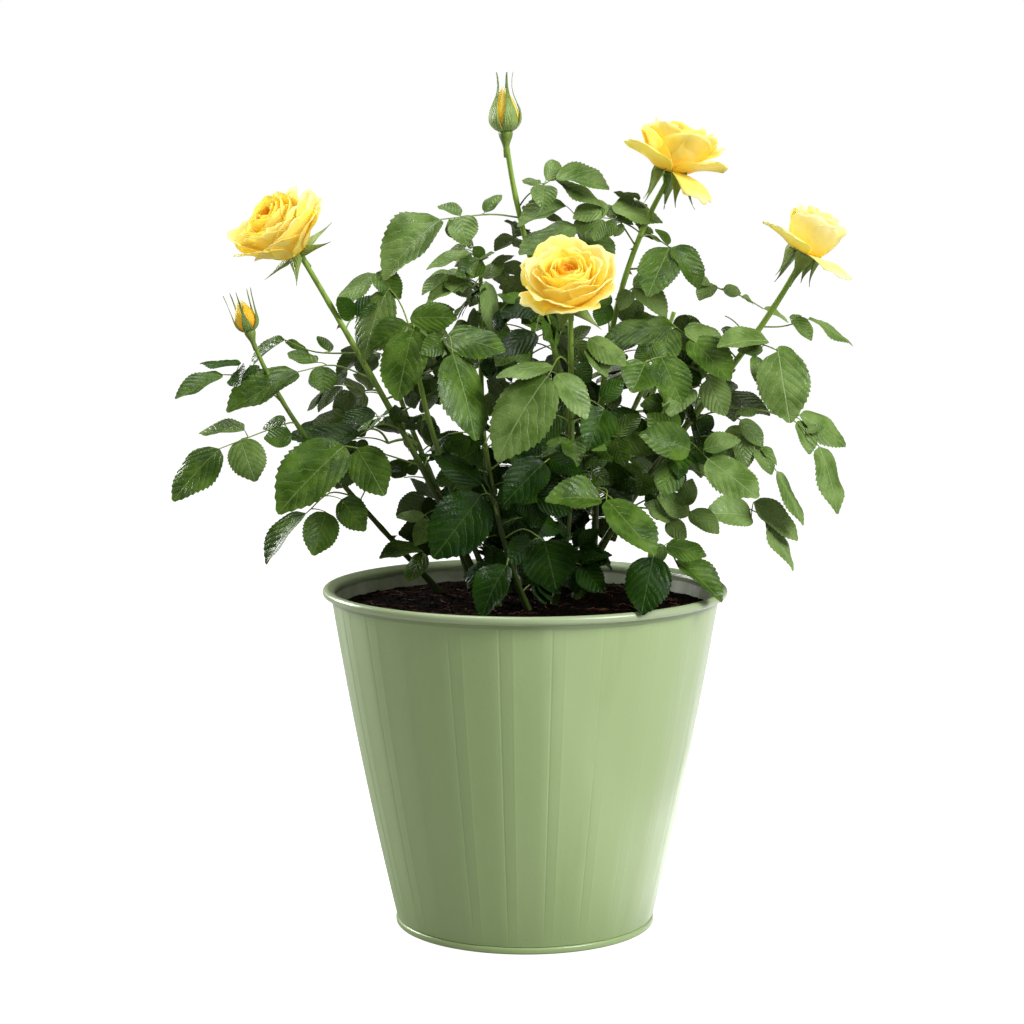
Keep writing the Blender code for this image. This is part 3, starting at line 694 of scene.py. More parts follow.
def cane_limb(cane):
    """A cane's centre line and radii, in metres, with a joint swelling about each 22 mm."""
    foot, head = Vector((*cane.foot, FOOT_Z)), Vector(cane.head)
    ends = [foot * MM, (foot + Vector(cane.rise)) * MM, (head + Vector(cane.hang)) * MM, head * MM]
    points = geometry.interpolate_bezier(*ends, CANE_STEPS)
    radii = []
    for i in range(CANE_STEPS):
        share = i / (CANE_STEPS - 1)
        width = cane.foot_width + (cane.head_width - cane.foot_width) * share
        joint = 1.0 + (0.10 if i % 4 == 2 and i < CANE_STEPS - 5 else 0.0)
        radii.append(0.5 * width * (1 + FLARE * math.exp(-share / FLARE_SHARE)) * joint * MM)
    radii[-1] *= HEAD_FLARE
    return Limb(points, radii)


LIMBS = {name: cane_limb(cane) for name, cane in CANES.items()}


def limb_at(name, height):
    """The place, direction and radius of a cane at a height."""
    limb = LIMBS[name]
    for i, (low, high) in enumerate(zip(limb.points, limb.points[1:])):
        if low.z <= height <= high.z:
            share = (height - low.z) / (high.z - low.z)
            radius = limb.radii[i] + (limb.radii[i + 1] - limb.radii[i]) * share
            return low.lerp(high, share), (high - low).normalized(), radius
    raise ValueError(f"{name} has no point {height} m high")


# %% Bark
SHADED_OLD_WOOD, YOUNG_WOOD = 0.25, 0.40
bark, tree, shader = new_finish("cane bark", Roughness=0.48, Specular_IOR_Level=0.25)
# Darker towards the foot: the old wood's own olive, deepened as painted shade low in the crown.
shaded_old_to_young = ramped(tree, place_axes(tree)["Z"], SHADED_OLD_WOOD, YOUNG_WOOD)
skin = blend(tree, shaded_old_to_young, rgba((0.040, 0.068, 0.010)), rgba((0.250, 0.400, 0.055)))
streak = blend(tree, shaded_old_to_young, rgba((0.070, 0.090, 0.016)), rgba((0.12, 0.185, 0.026)))
streaked = mottle(tree, skin, streak, 260.0, stretch=(1.0, 1.0, 0.12), low=0.45, high=0.8)
spotted = mottle(tree, streaked["Colour"], (0.06, 0.045, 0.018), 700.0, low=0.70, high=0.78)
tree.links.new(spotted["Colour"], shader.inputs["Base Color"])
bumped(tree, shader, streaked["Mask"], 0.00018)

# %% Prickles
PRICKLE_GAP, GOLDEN = 0.0150, math.radians(137.5)
PRICKLY_REACHES = {"cane_left_low": (0.24, 0.34), "cane_left": (0.23, 0.385), "cane_top_bud": (0.24, 0.45),
                   "cane_front": (0.24, 0.36), "cane_top_right": (0.24, 0.43), "cane_right": (0.23, 0.38)}
draw = random.Random(23)


def prickle_shape():
    """A hooked prickle along +Y, broad at its base and drawn down to a point. 20 faces."""
    rings, points, faces = 4, [], []
    for r in range(rings):
        share = r / rings
        wide = (1 - share) ** 1.3
        for k in range(5):
            a = math.tau * k / 5
            points.append((0.28 * wide * math.cos(a), share * 0.95,
                           -0.42 * share ** 2 + 0.55 * wide * math.sin(a)))
    points.append((0.0, 1.0, -0.5))
    for r in range(rings - 1):
        faces += [(r * 5 + k, r * 5 + (k + 1) % 5, r * 5 + 5 + (k + 1) % 5, r * 5 + 5 + k) for k in range(5)]
    faces += [((rings - 1) * 5 + k, (rings - 1) * 5 + (k + 1) % 5, rings * 5) for k in range(5)]
    faces.append((4, 3, 2, 1, 0))
    return tidy_normals(mesh_of("prickle", points, faces))


rows = []
for name, (low, high) in PRICKLY_REACHES.items():
    z, turn_round = low, draw.uniform(0, 6.28)
    while z < high:
        place, along, radius = limb_at(name, z)
        side = Matrix.Rotation(turn_round, 3, along) @ along.orthogonal().normalized()
        turn = Matrix((side.cross(along), side, along)).transposed()
        size = draw.uniform(2.2, 3.6) * MM
        rows.append((place + side * radius * 0.75, turn, (size, size, size), 0))
        z += PRICKLE_GAP * draw.uniform(0.6, 1.6)
        turn_round += GOLDEN + draw.uniform(-0.5, 0.5)
thorn, tree, shader = new_finish("prickle", Roughness=0.4)
tint = mottle(tree, (0.20, 0.17, 0.05), (0.26, 0.10, 0.045), 130.0)
tree.links.new(tint["Colour"], shader.inputs["Base Color"])
bumped(tree, shader, tint["Mask"], 0.0001)
prickles = copies_of("prickles", [prickle_shape()], rows, thorn)

# %% [markdown]
# ## The leaves
# A rose leaf is five or seven toothed leaflets on one thin stalk, the largest at its end. A leaflet is
# oval with a drawn-out tip. It folds a little along its sunken midrib, and swells between its side veins.
# It could be a flat card with a cut-out picture, but then its teeth would be pixels and it would have no
# fold. Here each leaflet is a mesh of about seven dozen faces in its own outline. Ten of them, each with its
# own fold and droop, are copied onto every place where a stalk carries a leaflet.

# %% Leaflet shapes
TEETH = 14
LEAFLET_KINDS = 10
TIP_ROUND, TIP_DRAWN = 0.70, 0.30
draw = random.Random(7)


def leaflet_shape(seed):
    """A leaflet from its base at 0 to its tip at y = 1, one wide and facing +Z."""
    pick = random.Random(seed)
    fold, droop, sway = pick.uniform(0.10, 0.42), pick.uniform(0.05, 0.30), pick.uniform(-0.07, 0.07)
    curl, wave, full = pick.uniform(-0.02, 0.20), pick.uniform(0.020, 0.050), pick.uniform(0.50, 0.66)

    def half_width(s):
        swell = s ** full * (1 - s) ** TIP_ROUND / (0.42 ** full * 0.58 ** TIP_ROUND)
        return 0.5 * swell * (1 - TIP_DRAWN * max(0.0, (s - 0.72) / 0.28) ** 1.5)

    def spot(s, across):
        """The point of the leaflet's skin at s along it and at this distance from its midrib."""
        a = abs(across)
        lift = (fold * a - curl * a * a * 4 - droop * s * s
                + wave * math.sin(9 * s + 5 * across + seed) * a * 2)
        return (across + sway * s * s, s - 0.05 * s * s * droop, lift)

    points, uv = [], []

    def add(s, across, raised=0.0):
        x, y, z = spot(s, across)
        points.append((x, y, z + raised))
        uv.append((0.5 + across, s))
        return len(points) - 1

    rib = [add(j / TEETH, 0.0) for j in range(TEETH + 1)]
    faces = []
    for side in (1, -1):
        inner = [rib[0]] + [add(j / TEETH + 0.02, side * 0.52 * half_width(j / TEETH), 0.006 * (-1) ** j)
                            for j in range(1, TEETH)] + [rib[-1]]
        notch = [rib[0]] + [add(j / TEETH, side * 0.964 * half_width(j / TEETH))
                            for j in range(1, TEETH)] + [rib[-1]]
        tooth = [add((j + 0.84) / TEETH, side * (1.026 * half_width((j + 0.66) / TEETH) + 0.003))
                 for j in range(TEETH)]
        for j in range(TEETH):
            strip = [(rib[j], rib[j + 1], inner[j + 1], inner[j]), (inner[j], tooth[j], notch[j]),
                     (inner[j], inner[j + 1], notch[j + 1], tooth[j])]
            for face in strip:
                face = [c for k, c in enumerate(face) if c not in face[:k]]
                if len(face) > 2:
                    faces.append(face[::-side])
    return mesh_of(f"leaflet {seed}", points, faces, uv)


leaflet_shapes = [leaflet_shape(seed) for seed in range(LEAFLET_KINDS)]
up = sum(p.normal.z for p in leaflet_shapes[0].polygons)
print("a leaflet has", len(leaflet_shapes[0].polygons), "faces; facing sum", round(up, 1))

# %% Leaf skin
VEIN_PAIRS, VEIN_SLANT, VEIN_BEND, VEIN_WANDER = 6.5, 0.62, 0.75, 0.14
VEINS, given, result = new_group("Leaf veins", {"Leaf": "Color", "Vein": "Color"},
                                 {"Colour": "Color", "Height": "Float"})
axes = skin_axes(VEINS)
across = maths(VEINS, "ABSOLUTE", maths(VEINS, "SUBTRACT", axes["X"], 0.5))
rib = ramped(VEINS, across, 0.004, 0.020, 1.0, 0.0)
place = put(VEINS, "ShaderNodeTexCoord").outputs["Object"]
wander = put(VEINS, "ShaderNodeTexNoise", {"Vector": place, "Scale": 130.0, "Detail": 2.0}).outputs[0]
slant = maths(VEINS, "ADD", maths(VEINS, "MULTIPLY", across, VEIN_BEND), VEIN_SLANT)
wandering = maths(VEINS, "ADD", maths(VEINS, "MULTIPLY", wander, VEIN_WANDER), axes["Y"])
leaning = maths(VEINS, "SUBTRACT", wandering, maths(VEINS, "MULTIPLY", across, slant))
repeat = maths(VEINS, "PINGPONG", maths(VEINS, "MULTIPLY", leaning, VEIN_PAIRS), 0.5)
side_vein = ramped(VEINS, repeat, 0.01, 0.08, 1.0, 0.0)
side_vein = maths(VEINS, "MULTIPLY", side_vein, ramped(VEINS, across, 0.30, 0.46, 1.0, 0.2))
lines = maths(VEINS, "MAXIMUM", rib, maths(VEINS, "MULTIPLY", side_vein, 0.50))
VEINS.links.new(blend(VEINS, lines, given["Leaf"], given["Vein"]), result["Colour"])
cells = put(VEINS, "ShaderNodeTexVoronoi", {"Vector": place, "Scale": 430.0}, feature="DISTANCE_TO_EDGE")
net = maths(VEINS, "MULTIPLY", ramped(VEINS, cells.outputs["Distance"], 0.0, 0.3), 0.35)
swell = maths(VEINS, "SUBTRACT", maths(VEINS, "ADD", net, maths(VEINS, "MULTIPLY", repeat, 2.0)), lines)
VEINS.links.new(swell, result["Height"])


def leaf_finish(name, deep, fresh, vein, under, gleam=0.22):
    """A leaf's skin: it drifts from deep to fresh, its veins are paler and its underside is paler still."""
    material, tree, shader = new_finish(name, Roughness=0.47, Specular_IOR_Level=gleam)
    patchy = mottle(tree, deep, fresh, 75.0, low=0.3, high=0.7)
    node = put(tree, "ShaderNodeGroup", node_tree=VEINS)
    tree.links.new(patchy["Colour"], node.inputs["Leaf"])
    node.inputs["Vein"].default_value = rgba(vein)
    back = put(tree, "ShaderNodeNewGeometry").outputs["Backfacing"]
    tree.links.new(blend(tree, back, node.outputs["Colour"], rgba(under)), shader.inputs["Base Color"])
    gloss = mottle(tree, (0, 0, 0), (1, 1, 1), 120.0)
    tree.links.new(ramped(tree, gloss["Mask"], 0.0, 1.0, 0.24, 0.46), shader.inputs["Roughness"])
    bumped(tree, shader, node.outputs["Height"], 0.00026, 0.8)
    return material


# The tones are one leaf green at several brightnesses: the darker ones are painted shade for leaves in the
# crown's shade, the lighter ones painted light for lit leaves.
LEAF_FINISHES = {
    "dark": leaf_finish("darker leaf, painted shade", (0.009, 0.032, 0.001), (0.036, 0.094, 0.005),
                        (0.060, 0.112, 0.016), (0.044, 0.082, 0.012), gleam=0.15),
    "mid": leaf_finish("green leaf", (0.027, 0.068, 0.003), (0.090, 0.172, 0.019),
                       (0.123, 0.192, 0.040), (0.092, 0.142, 0.026)),
    "light": leaf_finish("lighter leaf, painted light", (0.074, 0.140, 0.020), (0.186, 0.288, 0.074),
                         (0.215, 0.315, 0.104), (0.172, 0.235, 0.075)),
    "bright": leaf_finish("brightest leaf, painted light", (0.145, 0.238, 0.052), (0.222, 0.335, 0.098),
                          (0.280, 0.380, 0.155), (0.215, 0.288, 0.102)),
    "deep": leaf_finish("shaded leaf", (0.005, 0.022, 0.001), (0.013, 0.043, 0.002),
                        (0.032, 0.070, 0.010), (0.022, 0.046, 0.008), gleam=0.12),
}
print("leaf finishes:", ", ".join(LEAF_FINISHES))

# %% Growing helpers
leaflets = {tone: [] for tone in LEAF_FINISHES}
stalk_paths, twig_paths = [], []
STALK_RADIUS, STALKLET_RADIUS = 0.00062, 0.00042
draw = random.Random(101)


def add_leaflet(tone, base, tip, face, width):
    """One leaflet from base to tip, its upper side towards face."""
    along = tip - base
    length = along.length
    along = along / length
    across = along.cross(face).normalized()
    turn = Matrix((across, along, across.cross(along))).transposed()
    size = (width, length, 0.5 * (width + length))
    leaflets[tone].append((base, turn, size, draw.randrange(LEAFLET_KINDS)))


def curve_through(start, bend, end, steps=8):
    """A curve of one bend."""
    return [start.lerp(bend, t).lerp(bend.lerp(end, t), t) for t in (i / steps for i in range(steps + 1))]


def add_stalk(path, radius, tip_share=0.6, into=None):
    """A tapering tube, kept to be swept later."""
    count = len(path) - 1
    (stalk_paths if into is None else into).append(
        (path, [radius * (1.25 if i == 0 else 1 - (1 - tip_share) * i / count) for i in range(count + 1)]))


def smooth_path(corners, steps=5):
    """A smooth line through all of these points."""
    ends = [corners[0] * 2 - corners[1], *corners, corners[-1] * 2 - corners[-2]]
    path = []
    for a, b, c, d in zip(ends, ends[1:], ends[2:], ends[3:]):
        for i in range(steps):
            t = i / steps
            path.append(0.5 * (2 * b + (c - a) * t + (2 * a - 5 * b + 4 * c - d) * t * t
                               + (3 * b - a - 3 * c + d) * t ** 3))
    return path + [corners[-1]]


# %% Between the frame and the scene
# The camera's frame is 1024 pixels wide and high. A spot is a column and a row of it and a depth, which is
# y in mm.
FRAME_MIDDLE = 512
FRAME_LENS = 2 * FRAME_MIDDLE * LENS_MM / 36.0
Spot = namedtuple("Spot", "column row depth")


def place_of(spot):
    """The point that the camera sees at a spot, to the nearest mm."""
    aside, climb = (spot.column - FRAME_MIDDLE) / FRAME_LENS, (FRAME_MIDDLE - spot.row) / FRAME_LENS
    ahead = math.cos(CAMERA_TILT_DOWN) + climb * math.sin(CAMERA_TILT_DOWN)
    rise = climb * math.cos(CAMERA_TILT_DOWN) - math.sin(CAMERA_TILT_DOWN)
    reach = (spot.depth * MM - CAMERA_PLACE[1]) / ahead
    x, z = CAMERA_PLACE[0] + reach * aside, CAMERA_PLACE[2] + reach * rise
    return Vector((round(x / MM), spot.depth, round(z / MM))) * MM


def seen_in_frame(point):
    """The column and row of the frame at which the camera sees a point."""
    away = point - Vector(CAMERA_PLACE)
    ahead = away.y * math.cos(CAMERA_TILT_DOWN) - away.z * math.sin(CAMERA_TILT_DOWN)
    climb = away.y * math.sin(CAMERA_TILT_DOWN) + away.z * math.cos(CAMERA_TILT_DOWN)
    return FRAME_MIDDLE + FRAME_LENS * away.x / ahead, FRAME_MIDDLE - FRAME_LENS * climb / ahead


# %% Leaves with a place of their own
# Each row is a leaf: its limb, the height in mm where it leaves it, its tone, the spots that its stalk
# passes, and its leaflets. The tone is painted light or shade: lighter for a lit leaf, darker for one in
# shade. A leaflet has a spot for its base and one for its tip, and the width in mm that it shows to the
# front. The first leaflet is the one at the stalk's end.
Leaflet = namedtuple("Leaflet", "column row depth tip_column tip_row tip_depth width")
PLACED_LEAVES = {
    "low_left": ("cane_left_low", 315, "mid", [Spot(284, 424, -32)], [
        Leaflet(220, 448, -52, 168, 494, -68, 21), Leaflet(241, 439, -44, 252, 477, -60, 23),
        Leaflet(244, 431, -42, 198, 430, -30, 9), Leaflet(285, 419, -34, 260, 424, -30, 8),
        Leaflet(292, 436, -36, 266, 438, -46, 13)]),
    "mid_left": ("cane_left_low", 328, "dark", (), [
        Leaflet(223, 374, -46, 174, 396, -58, 10), Leaflet(239, 366, -42, 200, 356, -28, 7),
        Leaflet(238, 370, -44, 238, 384, -66, 10), Leaflet(259, 366, -40, 241, 374, -46, 5)]),
    "inner_left": ("cane_left", 342, "mid", [Spot(335, 366, -22)], [
        Leaflet(298, 371, -36, 226, 408, -60, 19), Leaflet(322, 366, -20, 325, 387, -40, 18),
        Leaflet(318, 362, -12, 288, 347, -4, 9)]),
    "behind_left": ("cane_left", 358, "mid", [Spot(316, 352, -2)], [
        Leaflet(285, 340, 4, 242, 364, 10, 7), Leaflet(285, 343, 6, 311, 348, 12, 6),
        Leaflet(330, 352, 0, 318, 335, 8, 7)]),
    "flat_left": ("cane_left", 312, "dark", (), [
        Leaflet(360, 435, -14, 286, 428, -18, 15), Leaflet(376, 413, -8, 340, 420, -14, 10)]),
    "big_left": ("cane_left", 288, "mid", [Spot(378, 452, -34)], [
        Leaflet(346, 446, -66, 276, 504, -94, 33), Leaflet(358, 449, -60, 383, 490, -78, 25)]),
    "hanging_left": ("cane_left_low", 269, "mid", (), [
        Leaflet(306, 513, -34, 259, 555, -48, 11), Leaflet(326, 512, -36, 314, 554, -52, 22),
        Leaflet(342, 500, -30, 362, 526, -48, 19)]),
    "rim_left": ("cane_left_low", 232, "mid", (), [
        Leaflet(420, 550, 4, 381, 551, -12, 9), Leaflet(424, 553, 0, 408, 577, -16, 12)]),
    "over_rim_left": ("cane_left", 258, "light", (), [
        Leaflet(424, 515, -10, 397, 514, -16, 7), Leaflet(430, 520, -12, 416, 544, -24, 13)]),
    "front_left": ("leafy_cane_left", 362, "mid", (), [
        Leaflet(413, 330, -52, 395, 399, -72, 27), Leaflet(408, 324, -44, 368, 344, -50, 17),
        Leaflet(410, 318, -44, 455, 314, -52, 18)]),
    "shoulder_left": ("leafy_cane_left", 368, "mid", [Spot(398, 300, -16)], [
        Leaflet(374, 274, 4, 333, 302, -4, 11), Leaflet(377, 272, 0, 400, 298, -14, 16),
        Leaflet(388, 291, -12, 354, 352, -26, 23)]),
    "upper_left": ("cane_top_bud", 440, "light", [Spot(490, 214, 26)], [
        Leaflet(440, 220, 10, 378, 264, -14, 25), Leaflet(461, 216, 18, 439, 202, 26, 8),
        Leaflet(461, 216, 14, 466, 240, -4, 19), Leaflet(449, 220, 10, 457, 239, 16, 9),
        Leaflet(485, 213, 24, 501, 194, 30, 8)]),
    "middle_left": ("leafy_cane_middle", 405, "mid", (), [
        Leaflet(471, 252, 40, 425, 261, 36, 7), Leaflet(484, 258, 42, 474, 247, 40, 8),
        Leaflet(484, 262, 40, 458, 276, 26, 14)]),
    "middle_low": ("leafy_cane_middle", 384, "bright", (), [
        Leaflet(468, 284, 36, 425, 295, 28, 10), Leaflet(480, 276, 44, 505, 262, 48, 10),
        Leaflet(486, 282, 40, 500, 330, 30, 11)]),
    "top_middle": ("cane_top_bud", 446, "light", [Spot(530, 194, 32)], [
        Leaflet(556, 178, 30, 609, 180, 22, 13), Leaflet(546, 181, 32, 562, 160, 40, 13),
        Leaflet(541, 184, 32, 521, 177, 36, 5), Leaflet(544, 185, 28, 543, 204, 14, 17),
        Leaflet(556, 181, 30, 606, 199, 30, 9)]),
    "top_behind": ("cane_top_bud", 405, "light", [Spot(570, 240, 44)], [
        Leaflet(582, 226, 46, 615, 254, 30, 16), Leaflet(577, 226, 30, 518, 246, 14, 16),
        Leaflet(567, 206, 30, 517, 214, 16, 12)]),
    "top_right_a": ("cane_top_right", 422, "bright", [Spot(621, 222, 36)], [
        Leaflet(612, 206, 34, 664, 216, 30, 10), Leaflet(613, 208, 34, 638, 220, 40, 6),
        Leaflet(608, 205, 36, 575, 215, 24, 13)]),
    "upper_right": ("cane_top_right", 428, "mid", [Spot(652, 236, 14)], [
        Leaflet(669, 248, 6, 647, 295, -18, 25), Leaflet(671, 247, 6, 704, 285, 0, 15),
        Leaflet(668, 246, 10, 657, 226, 16, 6)]),
    "upper_right_long": ("cane_top_right", 408, "bright", [
        Spot(680, 268, 20), Spot(715, 287, 28), Spot(742, 297, 32)], [
        Leaflet(764, 309, 34, 790, 321, 38, 4), Leaflet(742, 298, 30, 755, 302, 36, 4),
        Leaflet(724, 288, 28, 742, 293, 30, 8), Leaflet(712, 284, 24, 700, 299, 10, 11),
        Leaflet(684, 268, 18, 715, 281, 20, 7)]),
    "right_top": ("cane_right", 374, "light", [Spot(783, 326, -6)], [
        Leaflet(808, 320, 0, 858, 337, 10, 7), Leaflet(793, 320, -4, 812, 336, -14, 9),
        Leaflet(790, 319, -2, 801, 312, 4, 5)]),
    "right_in_top": ("cane_right", 366, "light", (), [
        Leaflet(768, 341, -24, 721, 337, -40, 11), Leaflet(762, 347, -22, 739, 348, -30, 9)]),
    "big_right": ("cane_right", 354, "light", (), [
        Leaflet(779, 351, -40, 789, 418, -64, 32), Leaflet(775, 349, -30, 818, 375, -24, 10),
        Leaflet(756, 356, -26, 760, 378, -38, 9)]),
    "right_high": ("cane_top_right", 352, "mid", [Spot(655, 318, 8)], [
        Leaflet(691, 338, -18, 731, 378, -40, 21), Leaflet(685, 329, -14, 726, 338, -18, 13),
        Leaflet(674, 326, -6, 603, 330, -4, 17), Leaflet(670, 328, -12, 660, 361, -34, 17)]),
    "right_heart": ("cane_top_right", 306, "mid", (), [
        Leaflet(645, 362, -40, 633, 391, -58, 24), Leaflet(648, 360, -36, 636, 346, -34, 11),
        Leaflet(662, 357, -36, 682, 402, -60, 23), Leaflet(655, 364, -30, 663, 340, -24, 12)]),
    "right_inner": ("cane_right", 318, "bright", (), [
        Leaflet(708, 378, -22, 724, 413, -42, 19), Leaflet(690, 388, -20, 668, 415, -44, 16),
        Leaflet(700, 380, -12, 690, 352, 0, 14)]),
    "far_right": ("cane_right", 325, "light", [Spot(758, 409, -8), Spot(790, 418, -4)], [
        Leaflet(799, 416, -2, 852, 438, 4, 16), Leaflet(801, 421, -4, 812, 453, -18, 12),
        Leaflet(770, 411, -4, 782, 403, 2, 5)]),
    "hanging_right": ("cane_right", 325, "light", [Spot(758, 409, -10), Spot(792, 420, -8)], [
        Leaflet(819, 447, -16, 845, 511, -30, 14), Leaflet(806, 432, -10, 824, 426, -6, 6)]),
    "low_right": ("cane_right", 296, "mid", (), [
        Leaflet(708, 458, -52, 758, 494, -74, 22), Leaflet(704, 450, -46, 739, 437, -50, 12),
        Leaflet(690, 450, -34, 668, 436, -36, 10)]),
    "low_far_right": ("cane_right", 304, "light", [Spot(744, 436, -20)], [
        Leaflet(777, 470, -26, 808, 523, -34, 8), Leaflet(756, 449, -24, 773, 474, -34, 10),
        Leaflet(760, 449, -24, 780, 463, -20, 6)]),
    "narrow_right": ("cane_right", 314, "light", (), [
        Leaflet(740, 420, -22, 764, 446, -26, 11), Leaflet(742, 436, -24, 748, 468, -34, 13),
        Leaflet(736, 414, -18, 758, 408, -14, 6)]),
    "bottom_right": ("cane_right", 292, "bright", [Spot(708, 477, -14), Spot(737, 502, -16)], [
        Leaflet(761, 515, -18, 802, 565, -24, 9), Leaflet(753, 502, -18, 804, 532, -22, 15),
        Leaflet(752, 517, -18, 713, 508, -40, 18)]),
    "rim_right": ("cane_right", 262, "mid", [Spot(668, 515, -30)], [
        Leaflet(675, 560, -56, 726, 593, -74, 13), Leaflet(667, 545, -62, 706, 553, -72, 13),
        Leaflet(664, 545, -46, 650, 562, -56, 11)]),
    "rim_front": ("cane_front", 284, "deep", [Spot(610, 497, -72), Spot(638, 529, -80)], [
        Leaflet(654, 557, -90, 642, 610, -114, 27)]),
    "rim_middle": ("leafy_cane_front", 236, "deep", [Spot(508, 556, -80)], [
        Leaflet(507, 566, -98, 476, 611, -116, 20)]),
    "front_inner_left": ("leafy_cane_left", 350, "mid", [Spot(446, 336, -56)], [
        Leaflet(453, 353, -72, 479, 437, -94, 26), Leaflet(447, 336, -58, 503, 345, -74, 19),
        Leaflet(442, 340, -58, 424, 352, -70, 14)]),
    "front_middle": ("cane_front", 350, "mid", (), [
        Leaflet(549, 375, -88, 490, 449, -110, 34), Leaflet(553, 367, -80, 496, 364, -90, 8),
        Leaflet(556, 374, -84, 592, 411, -98, 16)]),
    "front_beside": ("cane_front", 318, "dark", (), [
        Leaflet(604, 408, -78, 590, 446, -96, 22), Leaflet(600, 398, -70, 625, 382, -72, 12)]),
    "bloom_below": ("cane_front", 362, "light", (), [
        Leaflet(590, 338, -48, 626, 362, -62, 14), Leaflet(588, 348, -50, 606, 372, -64, 12)]),
    "front_heart": ("leafy_cane_front", 290, "deep", (), [
        Leaflet(545, 463, -86, 505, 499, -106, 23), Leaflet(540, 456, -78, 520, 440, -82, 13),
        Leaflet(550, 458, -82, 575, 470, -92, 12)]),
    "front_low_right": ("cane_front", 276, "mid", [Spot(603, 488, -78)], [
        Leaflet(606, 500, -94, 656, 553, -116, 21), Leaflet(601, 500, -92, 551, 491, -108, 17)]),
    "front_low_left": ("leafy_cane_front", 262, "deep", (), [
        Leaflet(482, 494, -84, 438, 555, -106, 35), Leaflet(482, 484, -74, 440, 450, -78, 15)]),
    "low_middle": ("leafy_cane_front", 248, "deep", (), [
        Leaflet(545, 541, -80, 556, 582, -98, 33), Leaflet(532, 540, -78, 510, 560, -90, 18)]),
    "right_beside": ("cane_right", 286, "mid", (), [
        Leaflet(690, 449, -58, 647, 433, -76, 21), Leaflet(672, 436, -46, 650, 415, -54, 16),
        Leaflet(676, 460, -54, 664, 492, -70, 18)]),
    "centre_back": ("leafy_cane_middle", 366, "deep", (), [
        Leaflet(545, 300, 4, 500, 312, -8, 14), Leaflet(536, 333, -22, 497, 351, -40, 15),
        Leaflet(501, 309, 2, 498, 329, -8, 9)]),
    "bottom_inner": ("cane_right", 258, "light", (), [
        Leaflet(690, 511, -34, 660, 494, -48, 14), Leaflet(690, 512, -34, 719, 532, -46, 13),
        Leaflet(684, 506, -36, 692, 481, -44, 12), Leaflet(672, 517, -38, 648, 503, -50, 13),
        Leaflet(668, 520, -38, 684, 538, -48, 12)]),
    "under_top_right": ("cane_top_right", 378, "bright", (), [
        Leaflet(634, 287, 22, 668, 312, 6, 14), Leaflet(632, 284, 22, 658, 272, 14, 10),
        Leaflet(629, 290, 20, 620, 308, 8, 11)]),
    "between_blooms": ("cane_top_right", 362, "dark", (), [
        Leaflet(607, 303, 10, 598, 324, 0, 13), Leaflet(612, 302, 10, 594, 296, 2, 10)]),
    "below_front": ("cane_front", 318, "dark", (), [
        Leaflet(577, 364, -30, 590, 380, -42, 13)]),
    "inner_gap": ("leafy_cane_left", 345, "dark", (), [
        Leaflet(446, 378, -40, 432, 394, -52, 12), Leaflet(450, 374, -38, 436, 370, -48, 9)]),
    "high_left": ("cane_left", 372, "dark", (), [
        Leaflet(353, 319, -14, 338, 298, -26, 12), Leaflet(356, 317, -14, 376, 294, -10, 11)]),
}
WIDTH_SHARE = 0.66
SAME_TONE, STALK_ARCH, STALKLET_ARCH = 0.8, 0.16, 0.1
LIGHTER = {"deep": "deep", "dark": "mid", "mid": "light", "light": "light", "bright": "bright"}


def facing(base, tip, seen_width):
    """The upper side's direction and the true width of a leaflet that shows this width to the front."""
    along = (tip - base).normalized()
    toward = (Vector(CAMERA_PLACE) - base).normalized()
    toward = (toward - along * toward.dot(along)).normalized()
    aside = along.cross(toward)
    if aside.z < 0:
        aside = -aside
    true_width = max(seen_width, WIDTH_SHARE * (tip - base).length)
    share = min(1.0, seen_width / true_width)
    return (toward * share + aside * math.sqrt(1 - share * share)).normalized(), true_width


for name, (limb, height, tone, via, rows) in PLACED_LEAVES.items():
    start = limb_at(limb, height * MM)[0]
    ends = [(place_of(Spot(*row[:3])), place_of(Spot(*row[3:6])), row.width * MM) for row in rows]
    corners = [start, *(place_of(spot) for spot in via), ends[0][0]]
    if len(corners) == 2:
        middle = (corners[0] + corners[1]) / 2
        corners.insert(1, middle + UP * STALK_ARCH * (corners[1] - corners[0]).length)
    path = smooth_path(corners)
    add_stalk(path, STALK_RADIUS)
    for i, (base, tip, seen_width) in enumerate(ends):
        if i:
            near = min(path[2:], key=lambda p: (p - base).length)
            bend = near.lerp(base, 0.5) + UP * STALKLET_ARCH * (base - near).length
            add_stalk(curve_through(near, bend, base, 4), STALKLET_RADIUS)
        face, width = facing(base, tip, seen_width)
        add_leaflet(tone if draw.random() < SAME_TONE else LIGHTER[tone], base, tip, face, width)
print("placed leaves:", len(PLACED_LEAVES), "with", sum(map(len, leaflets.values())), "leaflets")

# %% [markdown]
# ### Leaves that grow by a rule
# The rest of the crown follows the way a rose fills its space. Each fuller mass has a set of places
# spread evenly over its skin. The limb nearest to a place sends a leaf there. Where the limb is far
# away, a side shoot grows first, and later places may use it too, so every leaf hangs on something and
# the gaps between the masses stay open to the sky.

